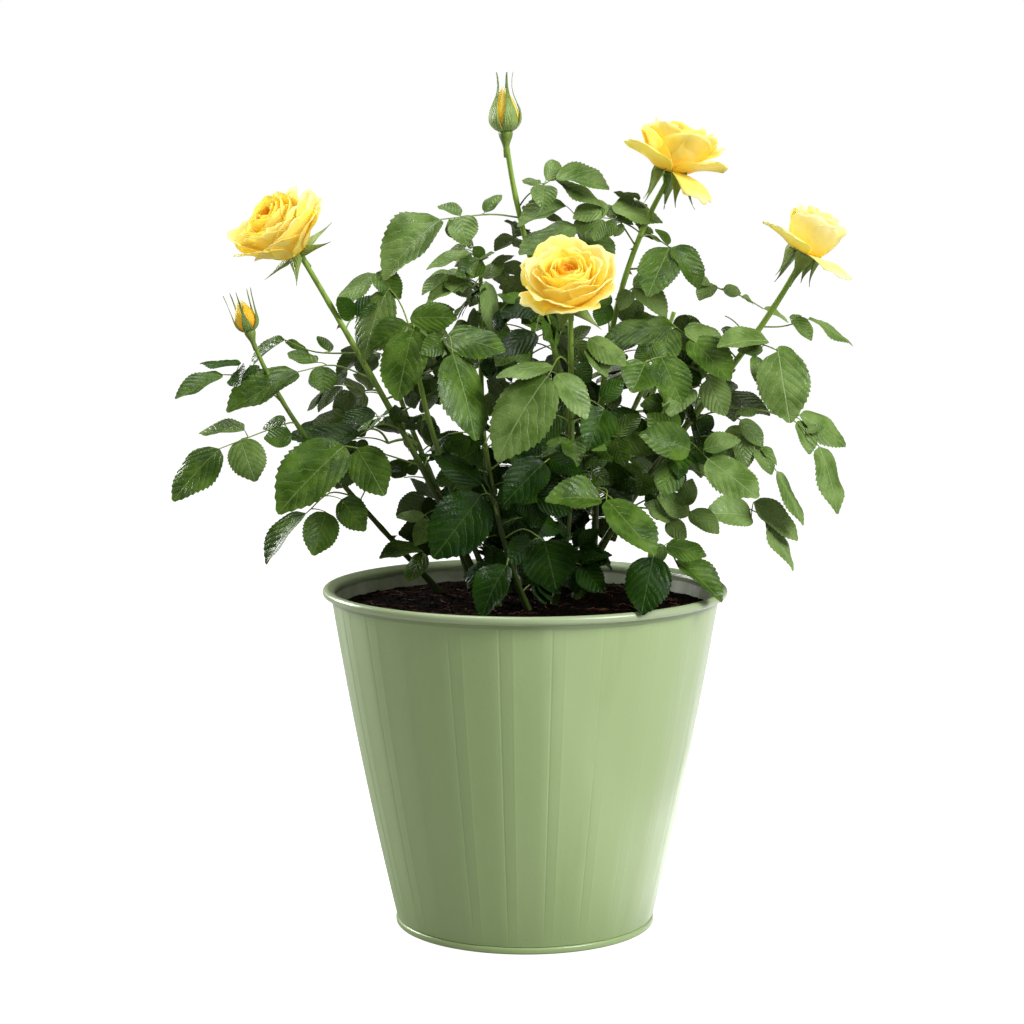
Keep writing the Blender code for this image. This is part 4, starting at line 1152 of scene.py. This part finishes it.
# %% Gaps that stay open
# Round windows that the crown leaves open, each at a column and row of the frame with its radius in pixels.
# A leaflet's middle stays clear of a window by half a leaflet's width.
LEAFLET_HALF = 6.5
Window = namedtuple("Window", "column row radius")
SKY_GAPS = {
    "left of the big upper leaf": Window(350, 256, 18), "under the big upper leaf": Window(415, 275, 14),
    "above the left cane": Window(315, 335, 16), "left of the top bud's stem": Window(495, 228, 10),
    "under the arched leaf": Window(541, 223, 4), "right of the front bloom": Window(626, 250, 5),
    "above the right stem's fork": Window(635, 231, 5), "behind the front bloom": Window(516, 322, 8),
    "below the front bloom": Window(534, 340, 8), "right below the front bloom": Window(594, 328, 7),
    "between the two right stems": Window(685, 300, 15), "under the long spray": Window(722, 312, 10),
    "beside the right stem": Window(744, 316, 10), "under the dark leaf": Window(632, 345, 6),
    "right of the top right leaf": Window(730, 345, 6), "above the big right leaf": Window(746, 383, 8),
    "in the right heart": Window(634, 398, 11), "high in the right heart": Window(667, 377, 4),
    "right heart, low": Window(685, 427, 4), "right of the cane's bend": Window(719, 420, 6),
    "beside the lowest right leaf": Window(702, 483, 12), "left heart, high": Window(416, 408, 6),
    "left heart, middle": Window(443, 403, 6), "left heart, right": Window(447, 425, 10),
    "left heart, low": Window(400, 453, 8), "under the left cane's leaf": Window(379, 379, 4),
    "left of the left cane": Window(377, 410, 4), "low left of the heart": Window(371, 442, 5),
    "between the lower canes": Window(436, 474, 6), "below the round leaf": Window(405, 488, 12),
}


def in_sky_gap(point):
    """Whether a point stands in one of the windows, seen from the front."""
    column, row = seen_in_frame(point)
    return any(math.hypot(column - gap.column, row - gap.row) < gap.radius + LEAFLET_HALF
               for gap in SKY_GAPS.values())


# %% Compound leaf by rule
PAIR_PLACES, PAIR_SIZES, WIDTH_RANGE = (0.90, 0.64, 0.42), (0.84, 0.70, 0.52), (0.60, 0.72)


def grow_leaf(start, goal, face, size, pairs, tone):
    """A compound leaf from a limb. Its end leaflet's middle is at goal."""
    reach = goal - start
    heading = reach.normalized()
    stalk_end = start + heading * max(reach.length - 0.5 * size, 0.55 * size)
    length = (stalk_end - start).length
    path = curve_through(start, start.lerp(stalk_end, 0.45) + UP * 0.20 * length, stalk_end)
    add_stalk(path, STALK_RADIUS * (0.8 + 6 * size))
    face = (face - heading * face.dot(heading)).normalized()
    droop = Vector((0, 0, -draw.uniform(0.15, 0.5)))
    ahead = ((path[-1] - path[-2]).normalized() + droop).normalized()
    face = (face - ahead * face.dot(ahead)).normalized()
    width = size * draw.uniform(*WIDTH_RANGE)
    if not in_sky_gap(stalk_end + ahead * size * 0.5):
        add_leaflet(tone, stalk_end, stalk_end + ahead * size, face, width)
    for pair in range(pairs):
        at = PAIR_PLACES[pair] * (len(path) - 1)
        i = int(at)
        point = path[i].lerp(path[min(i + 1, len(path) - 1)], at - i)
        ahead = (path[min(i + 1, len(path) - 1)] - path[i - 1]).normalized()
        side = ahead.cross(face).normalized()
        for sign in (1, -1):
            way = draw.uniform(0.9, 1.2)
            out = (ahead * math.cos(way) + side * sign * math.sin(way) + droop * 0.5).normalized()
            long = size * PAIR_SIZES[pair] * draw.uniform(0.88, 1.08)
            tilt = face + side * sign * draw.uniform(-0.25, 0.45) + ahead * draw.uniform(-0.2, 0.2)
            width = long * draw.uniform(*WIDTH_RANGE)
            if not in_sky_gap(point + out * long * 0.5):
                add_leaflet(tone, point + out * 0.0012, point + out * long, tilt.normalized(), width)


# %% Masses
Mass = namedtuple("Mass", "leaves size")
MASSES = {
    "mass_top_left": Mass(7, 0.0200),
    "mass_top_centre": Mass(7, 0.0200),
    "mass_left_inner": Mass(7, 0.0210),
    "mass_centre_high": Mass(13, 0.0220),
    "mass_centre": Mass(24, 0.0230),
    "mass_centre_right": Mass(19, 0.0225),
    "mass_right_high": Mass(10, 0.0215),
    "mass_low_middle": Mass(16, 0.0220),
    "mass_back_left": Mass(16, 0.0270),
    "mass_back_right": Mass(18, 0.0270),
    "mass_back_middle": Mass(20, 0.0270),
    "mass_back_low": Mass(21, 0.0270),
}
LEAF_PAIRS, THIRD_PAIR = 2, 0.3
LONGEST_LEAF_REACH, SHOOT_RADIUS, BACK_REACH = 0.050, 0.0012, 0.016
skeleton = [(p, r) for limb in LIMBS.values() for p, r in zip(limb.points[4:], limb.radii[4:])]


def nearest_limb(goal):
    """The skeleton's point that a leaf at goal would grow from: near it, and not above it."""
    def cost(entry):
        point = entry[0]
        return (point - goal).length + 1.6 * max(0.0, point.z - goal.z + 0.006)
    return min(skeleton, key=cost)


def grow_shoot(start, radius, goal):
    """A side shoot from a limb most of the way to a goal, added to the skeleton."""
    reach = goal - start
    end = start + reach * (1 - 0.7 * LONGEST_LEAF_REACH / reach.length)
    bend = start.lerp(end, 0.5) + UP * 0.12 * reach.length - Vector((reach.x, reach.y, 0)) * 0.08
    path = curve_through(start, bend, end, 10)
    radius = min(SHOOT_RADIUS, 0.7 * radius)
    add_stalk(path, radius, 0.65, into=twig_paths)
    skeleton.extend((p, radius) for p in path[3:])
    return path[-1]


def tone_at(goal):
    """Leaves low inside the crown take the deep and dark tones, painted shade, and those at its top and sides
    the light one, painted light.
    """
    light = (goal.z - 0.29) / 0.13 + abs(goal.x) / 0.30 + draw.gauss(0, 0.25)
    return "deep" if light < -0.10 else "dark" if light < 0.42 else "mid" if light < 0.95 else "light"


for name, mass in MASSES.items():
    low, high = (Vector(corner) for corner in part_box(name))
    if name.startswith("mass_back"):
        low.y -= BACK_REACH
    middle, half = (low + high) / 2, (high - low) / 2
    goals = []
    for i in range(mass.leaves):
        z = 1 - 2 * (i + 0.5) / mass.leaves
        angle = i * GOLDEN + draw.uniform(-0.3, 0.3)
        ring = math.sqrt(1 - z * z)
        share = draw.uniform(0.60, 0.92)
        skin = Vector((ring * math.cos(angle) * half.x, ring * math.sin(angle) * half.y, z * half.z))
        goals.append(middle + skin * share)
    goals.sort(key=lambda goal: (nearest_limb(goal)[0] - goal).length)
    for goal in goals:
        start, radius = nearest_limb(goal)
        if (goal - start).length > LONGEST_LEAF_REACH:
            start = grow_shoot(start, radius, goal)
        outward = Vector((goal.x, goal.y, 0))
        outward = outward.normalized() * min(1.0, outward.length / 0.05)
        front = Vector((0, -0.70, 0)) if goal.y < 0.04 else Vector((0, 0.45, 0))
        shake = Vector((draw.gauss(0, 0.28), draw.gauss(0, 0.28), draw.gauss(0, 0.15)))
        face = (UP * 0.60 + outward * 0.45 + front + shake).normalized()
        grow_leaf(start, goal, face, mass.size * draw.uniform(0.82, 1.15),
                  LEAF_PAIRS + (draw.random() < THIRD_PAIR), tone_at(goal))
print("rule leaves:", sum(m.leaves for m in MASSES.values()), "side shoots:", len(twig_paths))

# %% Leaves, stalks and shoots as pieces
leaf_pieces = []
for tone, rows in leaflets.items():
    if rows:
        leaf_pieces.append(copies_of(f"leaves_{tone}", leaflet_shapes, rows, LEAF_FINISHES[tone]))
stem_skin, tree, shader = new_finish("young stem", Roughness=0.5)
tint = mottle(tree, (0.125, 0.205, 0.024), (0.220, 0.310, 0.050), 90.0)
tree.links.new(tint["Colour"], shader.inputs["Base Color"])
grain = mottle(tree, (0, 0, 0), (1, 1, 1), 900.0, stretch=(1, 1, 0.2))
bumped(tree, shader, grain["Mask"], 0.0001)
canes = tubes("canes", list(LIMBS.values()), bark, 14, relief=0.00016)
stalks = tubes("leaf_stalks", stalk_paths, stem_skin, 5)
shoots = tubes("side_shoots", twig_paths, stem_skin, 8, relief=0.0001)

# %% [markdown]
# ## The blooms
# An open rose is a spiral: each petal stands a golden angle round from the last. The inner ones are small,
# upright and wrapped round the heart, and the outer ones are broad, lie open and roll back at their edge.
# A bought flower shape would be one solid lump. Here every petal is its own thin grid, bent twice: a
# curve from its foot to its edge, and a cup across it. How far it opens is read from its place in the spiral.

# %% Petal shape
PETAL_ROWS, PETAL_COLUMNS, EDGE_NICK = 14, 16, 0.036
PETAL_THICKNESS, GUARD_FOOT, PROFILE_STEPS = 0.00022, 0.0048, 40
petal_parts = {"core": [], "heart": [], "middle": [], "outer": [], "pale": []}
Opening = namedtuple("Opening", "foot waist belly edge")


def lerp(a, b, t):
    """The number a share t of the way from a to b."""
    return a + (b - a) * t


def grid_faces(rows, columns):
    """The faces of a grid of points, row after row."""
    side = columns + 1
    return [(r * side + c, r * side + c + 1, (r + 1) * side + c + 1, (r + 1) * side + c)
            for r in range(rows) for c in range(columns)]


def petal(frame_of, angle, length, width, opening, foot_radius, wrap, roll, seed, part):
    """One petal. The opening's four angles, in degrees from the bloom's axis, shape it from foot to edge."""
    pick = random.Random(seed)
    dent, point_up, skew = pick.uniform(0.0, 0.04), pick.uniform(0.0, 0.045), pick.uniform(-0.10, 0.10)
    marks = ((0.0, opening.foot), (0.25, opening.waist), (0.65, opening.belly), (1.0, opening.edge))
    profile, radius, height = [], foot_radius, 0.0
    for i in range(PROFILE_STEPS + 1):
        share = i / PROFILE_STEPS
        for (a, low), (b, high) in zip(marks, marks[1:]):
            if share <= b + 1e-9:
                t = (share - a) / (b - a)
                lean = math.radians(low + (high - low) * t * t * (3 - 2 * t))
                break
        profile.append((radius, height, lean))
        radius += length / PROFILE_STEPS * math.sin(lean)
        height += length / PROFILE_STEPS * math.cos(lean)
    points, uv = [], []
    for row in range(PETAL_ROWS + 1):
        v = row / PETAL_ROWS
        for column in range(PETAL_COLUMNS + 1):
            u = 2 * column / PETAL_COLUMNS - 1
            top = (0.95 - 0.15 * abs(u) ** 2.4 + point_up * math.exp(-(u / 0.18) ** 2)
                   - dent * math.exp(-((abs(u) - 0.45) / 0.2) ** 2)
                   + EDGE_NICK * noise.noise(Vector((u * 3.4 + seed * 1.9, seed * 0.37, 4.0))))
            s = min(v * top, 1.0)
            at = s * PROFILE_STEPS
            i = min(int(at), PROFILE_STEPS - 1)
            r, h, lean = (a + (b - a) * (at - i) for a, b in zip(profile[i], profile[i + 1]))
            grow = math.sin(math.pi / 2 * min(1.0, s / 0.60)) ** 0.85
            half = 0.5 * width * (0.20 + 0.80 * grow) * (1 - 0.12 * max(0.0, (s - 0.60) / 0.40) ** 2)
            bend_radius = max(r, 0.0012) * wrap
            turn = max(-2.9, min(2.9, (u + skew * s) * half / bend_radius))
            x = (r - bend_radius) + bend_radius * math.cos(turn)
            y = bend_radius * math.sin(turn)
            edge = abs(u) ** 3 * s * s
            curl = roll * (edge + 2.0 * max(0.0, s - 0.78) ** 1.5 * 2)
            ruffle = noise.noise(Vector((u * 1.6 + seed, s * 2.2, seed * 0.7))) * 0.0017 * s
            ruffle += noise.noise(Vector((u * 4.5 - seed, s * 1.2, seed * 1.3))) * 0.0019 * s ** 4
            x += (curl + ruffle) * math.cos(lean) + u * 0.0006 * (1.5 - min(1.5, wrap))
            z = h - (curl + ruffle) * math.sin(lean) - roll * 0.35 * edge
            c, d = math.cos(angle), math.sin(angle)
            points.append(frame_of @ Vector((x * c - y * d, x * d + y * c, z)))
            uv.append((0.5 + 0.5 * u, s))
    petal_parts[part].append((points, grid_faces(PETAL_ROWS, PETAL_COLUMNS), uv))


def joined(name, parts, material):
    """One piece from a list of points, faces and uv of each part."""
    points, faces, uv = [], [], []
    for part_points, part_faces, part_uv in parts:
        offset = len(points)
        points += part_points
        faces += [tuple(i + offset for i in face) for face in part_faces]
        uv += part_uv
    return add_piece(name, mesh_of(name, points, faces, uv), material)


# %% Blooms by rule
# A guard petal has its own place: its direction round the bloom and its lean in degrees, its length and
# width in mm, and how flat it lies.
Bloom = namedtuple("Bloom", "cane face length petals dome open_to roll core guards sepal_fall seed")
BLOOMS = {
    "bloom_left": Bloom("cane_left", (-0.60, -0.42, 0.80), 0.0400, 28, 0.84, 0.68, 0.0036, 3,
                        ((178, 28, 44, 36, 1.2), (214, 42, 43, 34, 1.0), (252, 46, 37, 36, 1.0),
                         (-8, 54, 35, 34, 1.1), (-44, 52, 34, 34, 1.1), (30, 50, 36, 36, 1.1)),
                        (1.7, 2.4, 0.72), 3),
    "bloom_front": Bloom("cane_front", (-0.08, -0.55, 0.83), 0.0368, 38, 0.68, 0.76, 0.0036, 8,
                         ((268, 60, 31, 36, 1.5), (208, 64, 33, 29, 1.4), (325, 56, 30, 31, 1.5),
                          (95, 30, 41, 38, 1.3), (35, 40, 36, 34, 1.3), (150, 44, 36, 34, 1.3)),
                         (1.9, 2.5, 0.75), 8),
    "bloom_top_right": Bloom("cane_top_right", (0.24, 0.02, 0.97), 0.0370, 30, 0.72, 0.66, 0.0044, 2,
                             ((-45, 127, 35, 28, 1.3), (213, 66, 35, 36, 1.0), (-30, 70, 36, 36, 1.1),
                              (20, 44, 37, 34, 1.1), (238, 26, 36, 34, 1.0), (288, 36, 36, 36, 1.0)),
                             (2.5, 2.9, 1.0), 14),
    "bloom_right": Bloom("cane_right", (0.40, -0.06, 0.91), 0.0302, 20, 0.90, 0.34, 0.0034, 0,
                         ((222, 76, 36, 36, 1.0), (-40, 102, 34, 31, 0.9), (262, 12, 31, 38, 1.0),
                          (318, 20, 31, 38, 1.0), (15, 16, 31, 38, 1.0), (135, 20, 31, 38, 1.0)),
                         (2.85, 3.05, 1.0), 21),
}
PALE_BLOOMS, PALER = ("bloom_right",), {"heart": "middle", "middle": "outer", "outer": "pale"}
CLOSING, BULGE, UPRIGHT, GUARD_LEAN = 1.5, 1.3, 40, 80
NECK, NECK_RISE = 0.0012, {"cane_right": 0.0018, "cane_left": 0.0022}


def bloom_frame(cane, face):
    """The frame of a bloom: its foot on the cane's head, and its axis along face."""
    limb = LIMBS[cane]
    axis = Vector(face).normalized()
    side = Vector((0, 1, 0)).cross(axis).normalized()
    turn = Matrix((side, axis.cross(side), axis)).transposed().to_4x4()
    return Matrix.Translation(limb.points[-1] + axis * (NECK + NECK_RISE.get(cane, 0.0))) @ turn


BLOOM_LIFT = Matrix.Translation((0, 0, 0.004))
for name, bloom in BLOOMS.items():
    frame_of = bloom_frame(bloom.cane, bloom.face) @ BLOOM_LIFT
    shake = random.Random(bloom.seed)
    for i in range(bloom.petals):
        t = i / (bloom.petals - 1)
        open_by = max(0.0, bloom.open_to * t ** 1.2 + shake.gauss(0, 0.06) * t)
        opening = Opening(lerp(30, 82, open_by), lerp(12, 62, open_by), lerp(-10, 44, open_by),
                          lerp(-4, 88, open_by ** 1.6) + shake.gauss(0, 9) * t)
        length = lerp(bloom.dome, 1.0, t ** 0.7) * bloom.length * shake.uniform(0.90, 1.06)
        width = bloom.length * lerp(0.42, 1.10, t ** 0.7) * shake.uniform(0.88, 1.08)
        part = "core" if i < bloom.core else "heart" if t < 0.36 else "middle" if t < 0.66 else "outer"
        part = PALER.get(part, part) if name in PALE_BLOOMS else part
        petal(frame_of, i * GOLDEN + bloom.seed + shake.gauss(0, 0.15), length, width, opening,
              lerp(0.0008, 0.0034, t), lerp(1.0, 1.25, t), bloom.roll * t ** 2, bloom.seed * 100 + i, part)
    for k, (azimuth, lean, length, width, flat) in enumerate(bloom.guards):
        waist = max(lean * 0.8, BULGE * (UPRIGHT - lean))
        opening = Opening(GUARD_LEAN, waist, lean, lean * 1.12 - CLOSING * max(0, UPRIGHT - lean))
        petal(frame_of, math.radians(azimuth), length * MM, width * MM, opening, GUARD_FOOT, flat,
              bloom.roll, bloom.seed * 100 + 90 + k, "pale" if name in PALE_BLOOMS else "outer")

# %% Buds
# A bud is known by its outline: how wide its petals and its sepals stand at each height above the hip, and
# how wide each sepal is there, in mm.
Bud = namedtuple("Bud", "cane face hip petals sepals turn")
BUDS = {
    "bud_top": Bud("cane_top_bud", (-0.03, -0.02, 1.00), 1.1,
                   ((0, 3.0), (3, 6.8), (7, 8.9), (11, 8.9), (16, 7.2), (21, 4.8), (25, 2.5), (27.5, 0.5)),
                   ((0, 3.2, 2.4), (2, 6.6, 4.4), (5, 9.5, 5.4), (9, 10.3, 4.9), (14, 9.4, 3.5),
                    (19, 7.3, 2.1), (23, 5.6, 1.2), (28, 4.6, 0.7), (33, 4.8, 0.45), (37, 5.6, 0.12)), 0.05),
    "bud_left": Bud("cane_left_low", (-0.29, -0.02, 0.96), 0.85,
                    ((0, 2.8), (2, 5.4), (5, 6.7), (8, 6.5), (12, 5.2), (15.5, 3.2), (18, 1.6), (19.2, 0.4)),
                    ((0, 2.8, 2.4), (2, 5.9, 3.2), (5, 7.3, 2.5), (8, 7.5, 1.6), (11, 7.6, 0.9),
                     (16, 8.0, 0.5), (21, 8.4, 0.35), (25, 9.0, 0.1)), 0.95),
}
BUD_PETALS, BUD_ROWS, BUD_SUNK = 5, 18, 0.0040
BUD_PARTS = {"bud_top": ("outer", "middle"), "bud_left": ("middle", "heart")}


def along_rows(rows, share):
    """The values of an outline's rows at a share of its height, along a smooth line."""
    top = rows[-1][0]
    for a, b in zip(rows, rows[1:]):
        if share * top <= b[0] + 1e-9:
            t = (share * top - a[0]) / (b[0] - a[0])
            return [lerp(x, y, t) for x, y in zip(a, b)]
    return list(rows[-1])


def clasping(frame_of, rows, angle, columns, half_width, bulge, seed):
    """A petal or a sepal that clasps a bud. half_width tells half its width, in mm, at a share of it."""
    points, uv = [], []
    for row in range(BUD_ROWS + 1):
        share = row / BUD_ROWS
        z, r = along_rows(rows, share)[:2]
        half = half_width(share)
        for column in range(columns + 1):
            u = 2 * column / columns - 1
            turn = u * half / max(r, 1.0)
            out = r + bulge * (0.35 + 0.65 * u) + 0.25 * noise.noise(Vector((u * 2, share * 4, seed)))
            place = Vector((out * math.cos(angle + turn), out * math.sin(angle + turn), z))
            points.append(frame_of @ (place * MM))
            uv.append((0.5 + 0.5 * u, share))
    return points, grid_faces(BUD_ROWS, columns), uv


for name, bud in BUDS.items():
    frame_of = bloom_frame(bud.cane, bud.face) @ Matrix.Translation((0, 0, (0.0050 - BUD_SUNK) * bud.hip))
    for i in range(BUD_PETALS):
        inner = tuple((z * (1.0 - 0.03 * i), r * (1.0 - 0.07 * i)) for z, r in bud.petals)
        def petal_half(share, i=i, inner=inner):
            return 1.35 * along_rows(inner, share)[1] * (1 - 0.85 * max(0.0, (share - 0.55) / 0.45) ** 1.6)
        petal_parts[BUD_PARTS[name][min(i, 1)]].append(
            clasping(frame_of, inner, i * GOLDEN + bud.turn + 2.6, 12, petal_half, 0.35, i))

# %% Petal finish
def petal_finish(name, foot, body, edge):
    """A petal: deep at its foot, its own colour over its body and pale at its edge, with fine long veins. It
    glows faintly in its own colour: painted light for light that shines through the thin petal.
    """
    material, tree, shader = new_finish(name, Roughness=0.55, Specular_IOR_Level=0.25, Subsurface_Weight=0.35,
                                        Subsurface_Scale=0.004, Emission_Strength=0.10)
    shader.inputs["Subsurface Radius"].default_value = (1.0, 0.7, 0.12)
    along = skin_axes(tree)
    lower = blend(tree, ramped(tree, along["Y"], 0.05, 0.5), rgba(foot), rgba(body))
    whole = blend(tree, ramped(tree, along["Y"], 0.70, 1.0), lower, rgba(edge))
    soft = mottle(tree, whole, edge, 70.0, low=0.45, high=1.0)
    tree.links.new(soft["Colour"], shader.inputs["Base Color"])
    # The same colour feeds a faint glow: painted light.
    tree.links.new(soft["Colour"], shader.inputs["Emission Color"])
    waves = maths(tree, "MULTIPLY", along["X"], 34.0)
    vein = maths(tree, "PINGPONG", waves, 0.5)
    bumped(tree, shader, vein, 0.00012)
    return material


PETAL_FINISHES = {
    "core": petal_finish("core petal", (0.80, 0.16, 0.004), (0.88, 0.24, 0.010), (0.93, 0.42, 0.030)),
    "heart": petal_finish("heart petal", (0.88, 0.34, 0.008), (0.94, 0.53, 0.022), (0.97, 0.69, 0.100)),
    "middle": petal_finish("middle petal", (0.92, 0.46, 0.010), (0.97, 0.67, 0.062), (0.98, 0.79, 0.190)),
    "outer": petal_finish("outer petal", (0.93, 0.58, 0.020), (0.97, 0.745, 0.130), (0.98, 0.86, 0.340)),
    "pale": petal_finish("pale petal", (0.91, 0.63, 0.045), (0.94, 0.765, 0.200), (0.96, 0.86, 0.410)),
}
petal_pieces = []
for part, parts in petal_parts.items():
    piece = joined(f"petals_{part}", parts, PETAL_FINISHES[part])
    shell = piece.modifiers.new("thickness", "SOLIDIFY")
    shell.thickness, shell.offset = PETAL_THICKNESS, 0.0
    petal_pieces.append(piece)
    print(piece.name, len(parts), "petals")

# %% [markdown]
# ## Sepals and hips
# Under every rose sits a small green hip, and five narrow sepals with drawn-out tips. On an open bloom
# they hang back along the stem, and on a bud they still clasp the petals. Each is a folded blade along a
# curve. The hips are turned from one profile, scaled to each head.

# %% Blades and hips
SEPALS, SEPAL_STEPS, SEPAL_WIDTH, SEPAL_THICKNESS = 5, 13, 0.0125, 0.0003
SEPAL_LIFT, SEPAL_HUG = 0.7, 0.012


def blade(path, face, width, widest=0.28):
    """A narrow folded leaf along a path, with its upper side towards face."""
    points, uv = [], []
    count = len(path) - 1
    for i, p in enumerate(path):
        t = i / count
        ahead = (path[min(i + 1, count)] - path[max(i - 1, 0)]).normalized()
        across = ahead.cross(face).normalized()
        up = across.cross(ahead)
        half = 0.5 * width * (min(1.0, 0.6 + 0.4 * t / widest) * (1 - t) ** 1.7 * 1.45 + 0.025)
        for u in (-1, -0.5, 0, 0.5, 1):
            points.append(p + across * u * half + up * half * 0.6 * abs(u) ** 1.5)
            uv.append((0.5 + 0.5 * u, t))
    return points, grid_faces(count, 4), uv


sepals, hips = [], []
HIP_PROFILE = [(0.0, -0.0100), (0.0015, -0.0096), (0.0017, -0.0045), (0.0021, -0.0024), (0.0029, -0.0002),
               (0.0037, 0.0018), (0.0041, 0.0036), (0.0038, 0.0052), (0.0030, 0.0060), (0.0, 0.0062)]
for name, head in {**BLOOMS, **BUDS}.items():
    frame_of = bloom_frame(head.cane, head.face)
    size = head.hip if name in BUDS else 1.0
    if name in BUDS:
        frame_of = frame_of @ Matrix.Translation((0, 0, -BUD_SUNK * size))
    hip = turned("hip", [(r * size, z * size) for r, z in HIP_PROFILE], steps=20, closed=False)
    hips.append(([frame_of @ v.co for v in hip.vertices], [tuple(p.vertices) for p in hip.polygons],
                 [(0.5, 0.5)] * len(hip.vertices)))
    if name in BUDS:
        lifted = frame_of @ Matrix.Translation((0, 0, 0.0044 * head.hip))
        for k in range(SEPALS):
            def sepal_half(share, rows=head.sepals):
                return along_rows(rows, share)[2]
            angle = math.tau * k / SEPALS + head.turn
            sepals.append(clasping(lifted, head.sepals, angle, 6, sepal_half, 0.12, k))
        continue
    pick = random.Random(head.seed)
    for k in range(SEPALS):
        angle = math.tau * k / SEPALS + head.seed
        out, up = Vector((math.cos(angle), math.sin(angle), 0)), UP
        fall = pick.uniform(*head.sepal_fall[:2])
        reach = (pick.uniform(0.027, 0.038) - SEPAL_HUG * max(0.0, fall - 2.4)) * head.sepal_fall[2]
        path, spot = [], out * 0.0034 + up * 0.0052
        for i in range(SEPAL_STEPS + 1):
            path.append(spot)
            lean = 1.6 + (fall - 1.6) * min(1, i / 2) - SEPAL_LIFT * max(0.0, i / SEPAL_STEPS - 0.6)
            spot = spot + (out * math.sin(lean) + up * math.cos(lean)) * reach / SEPAL_STEPS
        face = (frame_of.to_3x3() @ (out * 0.7 - up * 0.7)).normalized()
        sepals.append(blade([frame_of @ p for p in path], face, SEPAL_WIDTH * pick.uniform(0.8, 1.15)))
# The sepals' greens are lightened past their own colour: painted light, as they hang in the blooms' shade.
sepal_skin_painted_light = leaf_finish("sepal", (0.220, 0.330, 0.075), (0.330, 0.450, 0.140),
                         (0.32, 0.42, 0.12), (0.28, 0.38, 0.15))
sepal_piece = joined("sepals", sepals, sepal_skin_painted_light)
shell = sepal_piece.modifiers.new("thickness", "SOLIDIFY")
shell.thickness, shell.offset = SEPAL_THICKNESS, 0.0
hip_piece = joined("hips", hips, stem_skin)
tidy_normals(hip_piece.data)
print(len(sepals), "sepals,", len(hips), "hips")

# %% [markdown]
# ## The pieces on the body
# Every piece rides on the one rigid body, and the solids that it stands for are hidden.

# %% Ride and replace
CANE_NODES = list(CANES)
LEAF_NODES = [name for name in NODES if name.startswith(("spray_", "mass_"))]
BLOOM_NODES = [*BLOOMS, *BUDS]
for piece, slot, nodes in (
        (wall, "pot_paint", ["pot_wall"]), (clinches, "pot_paint", []), (rim, "pot_paint", ["pot_rim"]),
        (hem, "pot_paint", ["pot_base"]), (bed, "compost", ["compost"]), (crumbs, "compost", []),
        (fibres, "compost", []), (canes, "cane", CANE_NODES), (shoots, "cane", []), (stalks, "cane", []),
        (prickles, "cane", []), (leaf_pieces[0], "foliage", LEAF_NODES),
        *((piece, "foliage", []) for piece in leaf_pieces[1:]),
        (petal_pieces[0], "petal", BLOOM_NODES), *((piece, "petal", []) for piece in petal_pieces[1:]),
        (sepal_piece, "foliage", []), (hip_piece, "foliage", [])):
    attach(piece, "root")
    if nodes:
        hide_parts(*nodes)
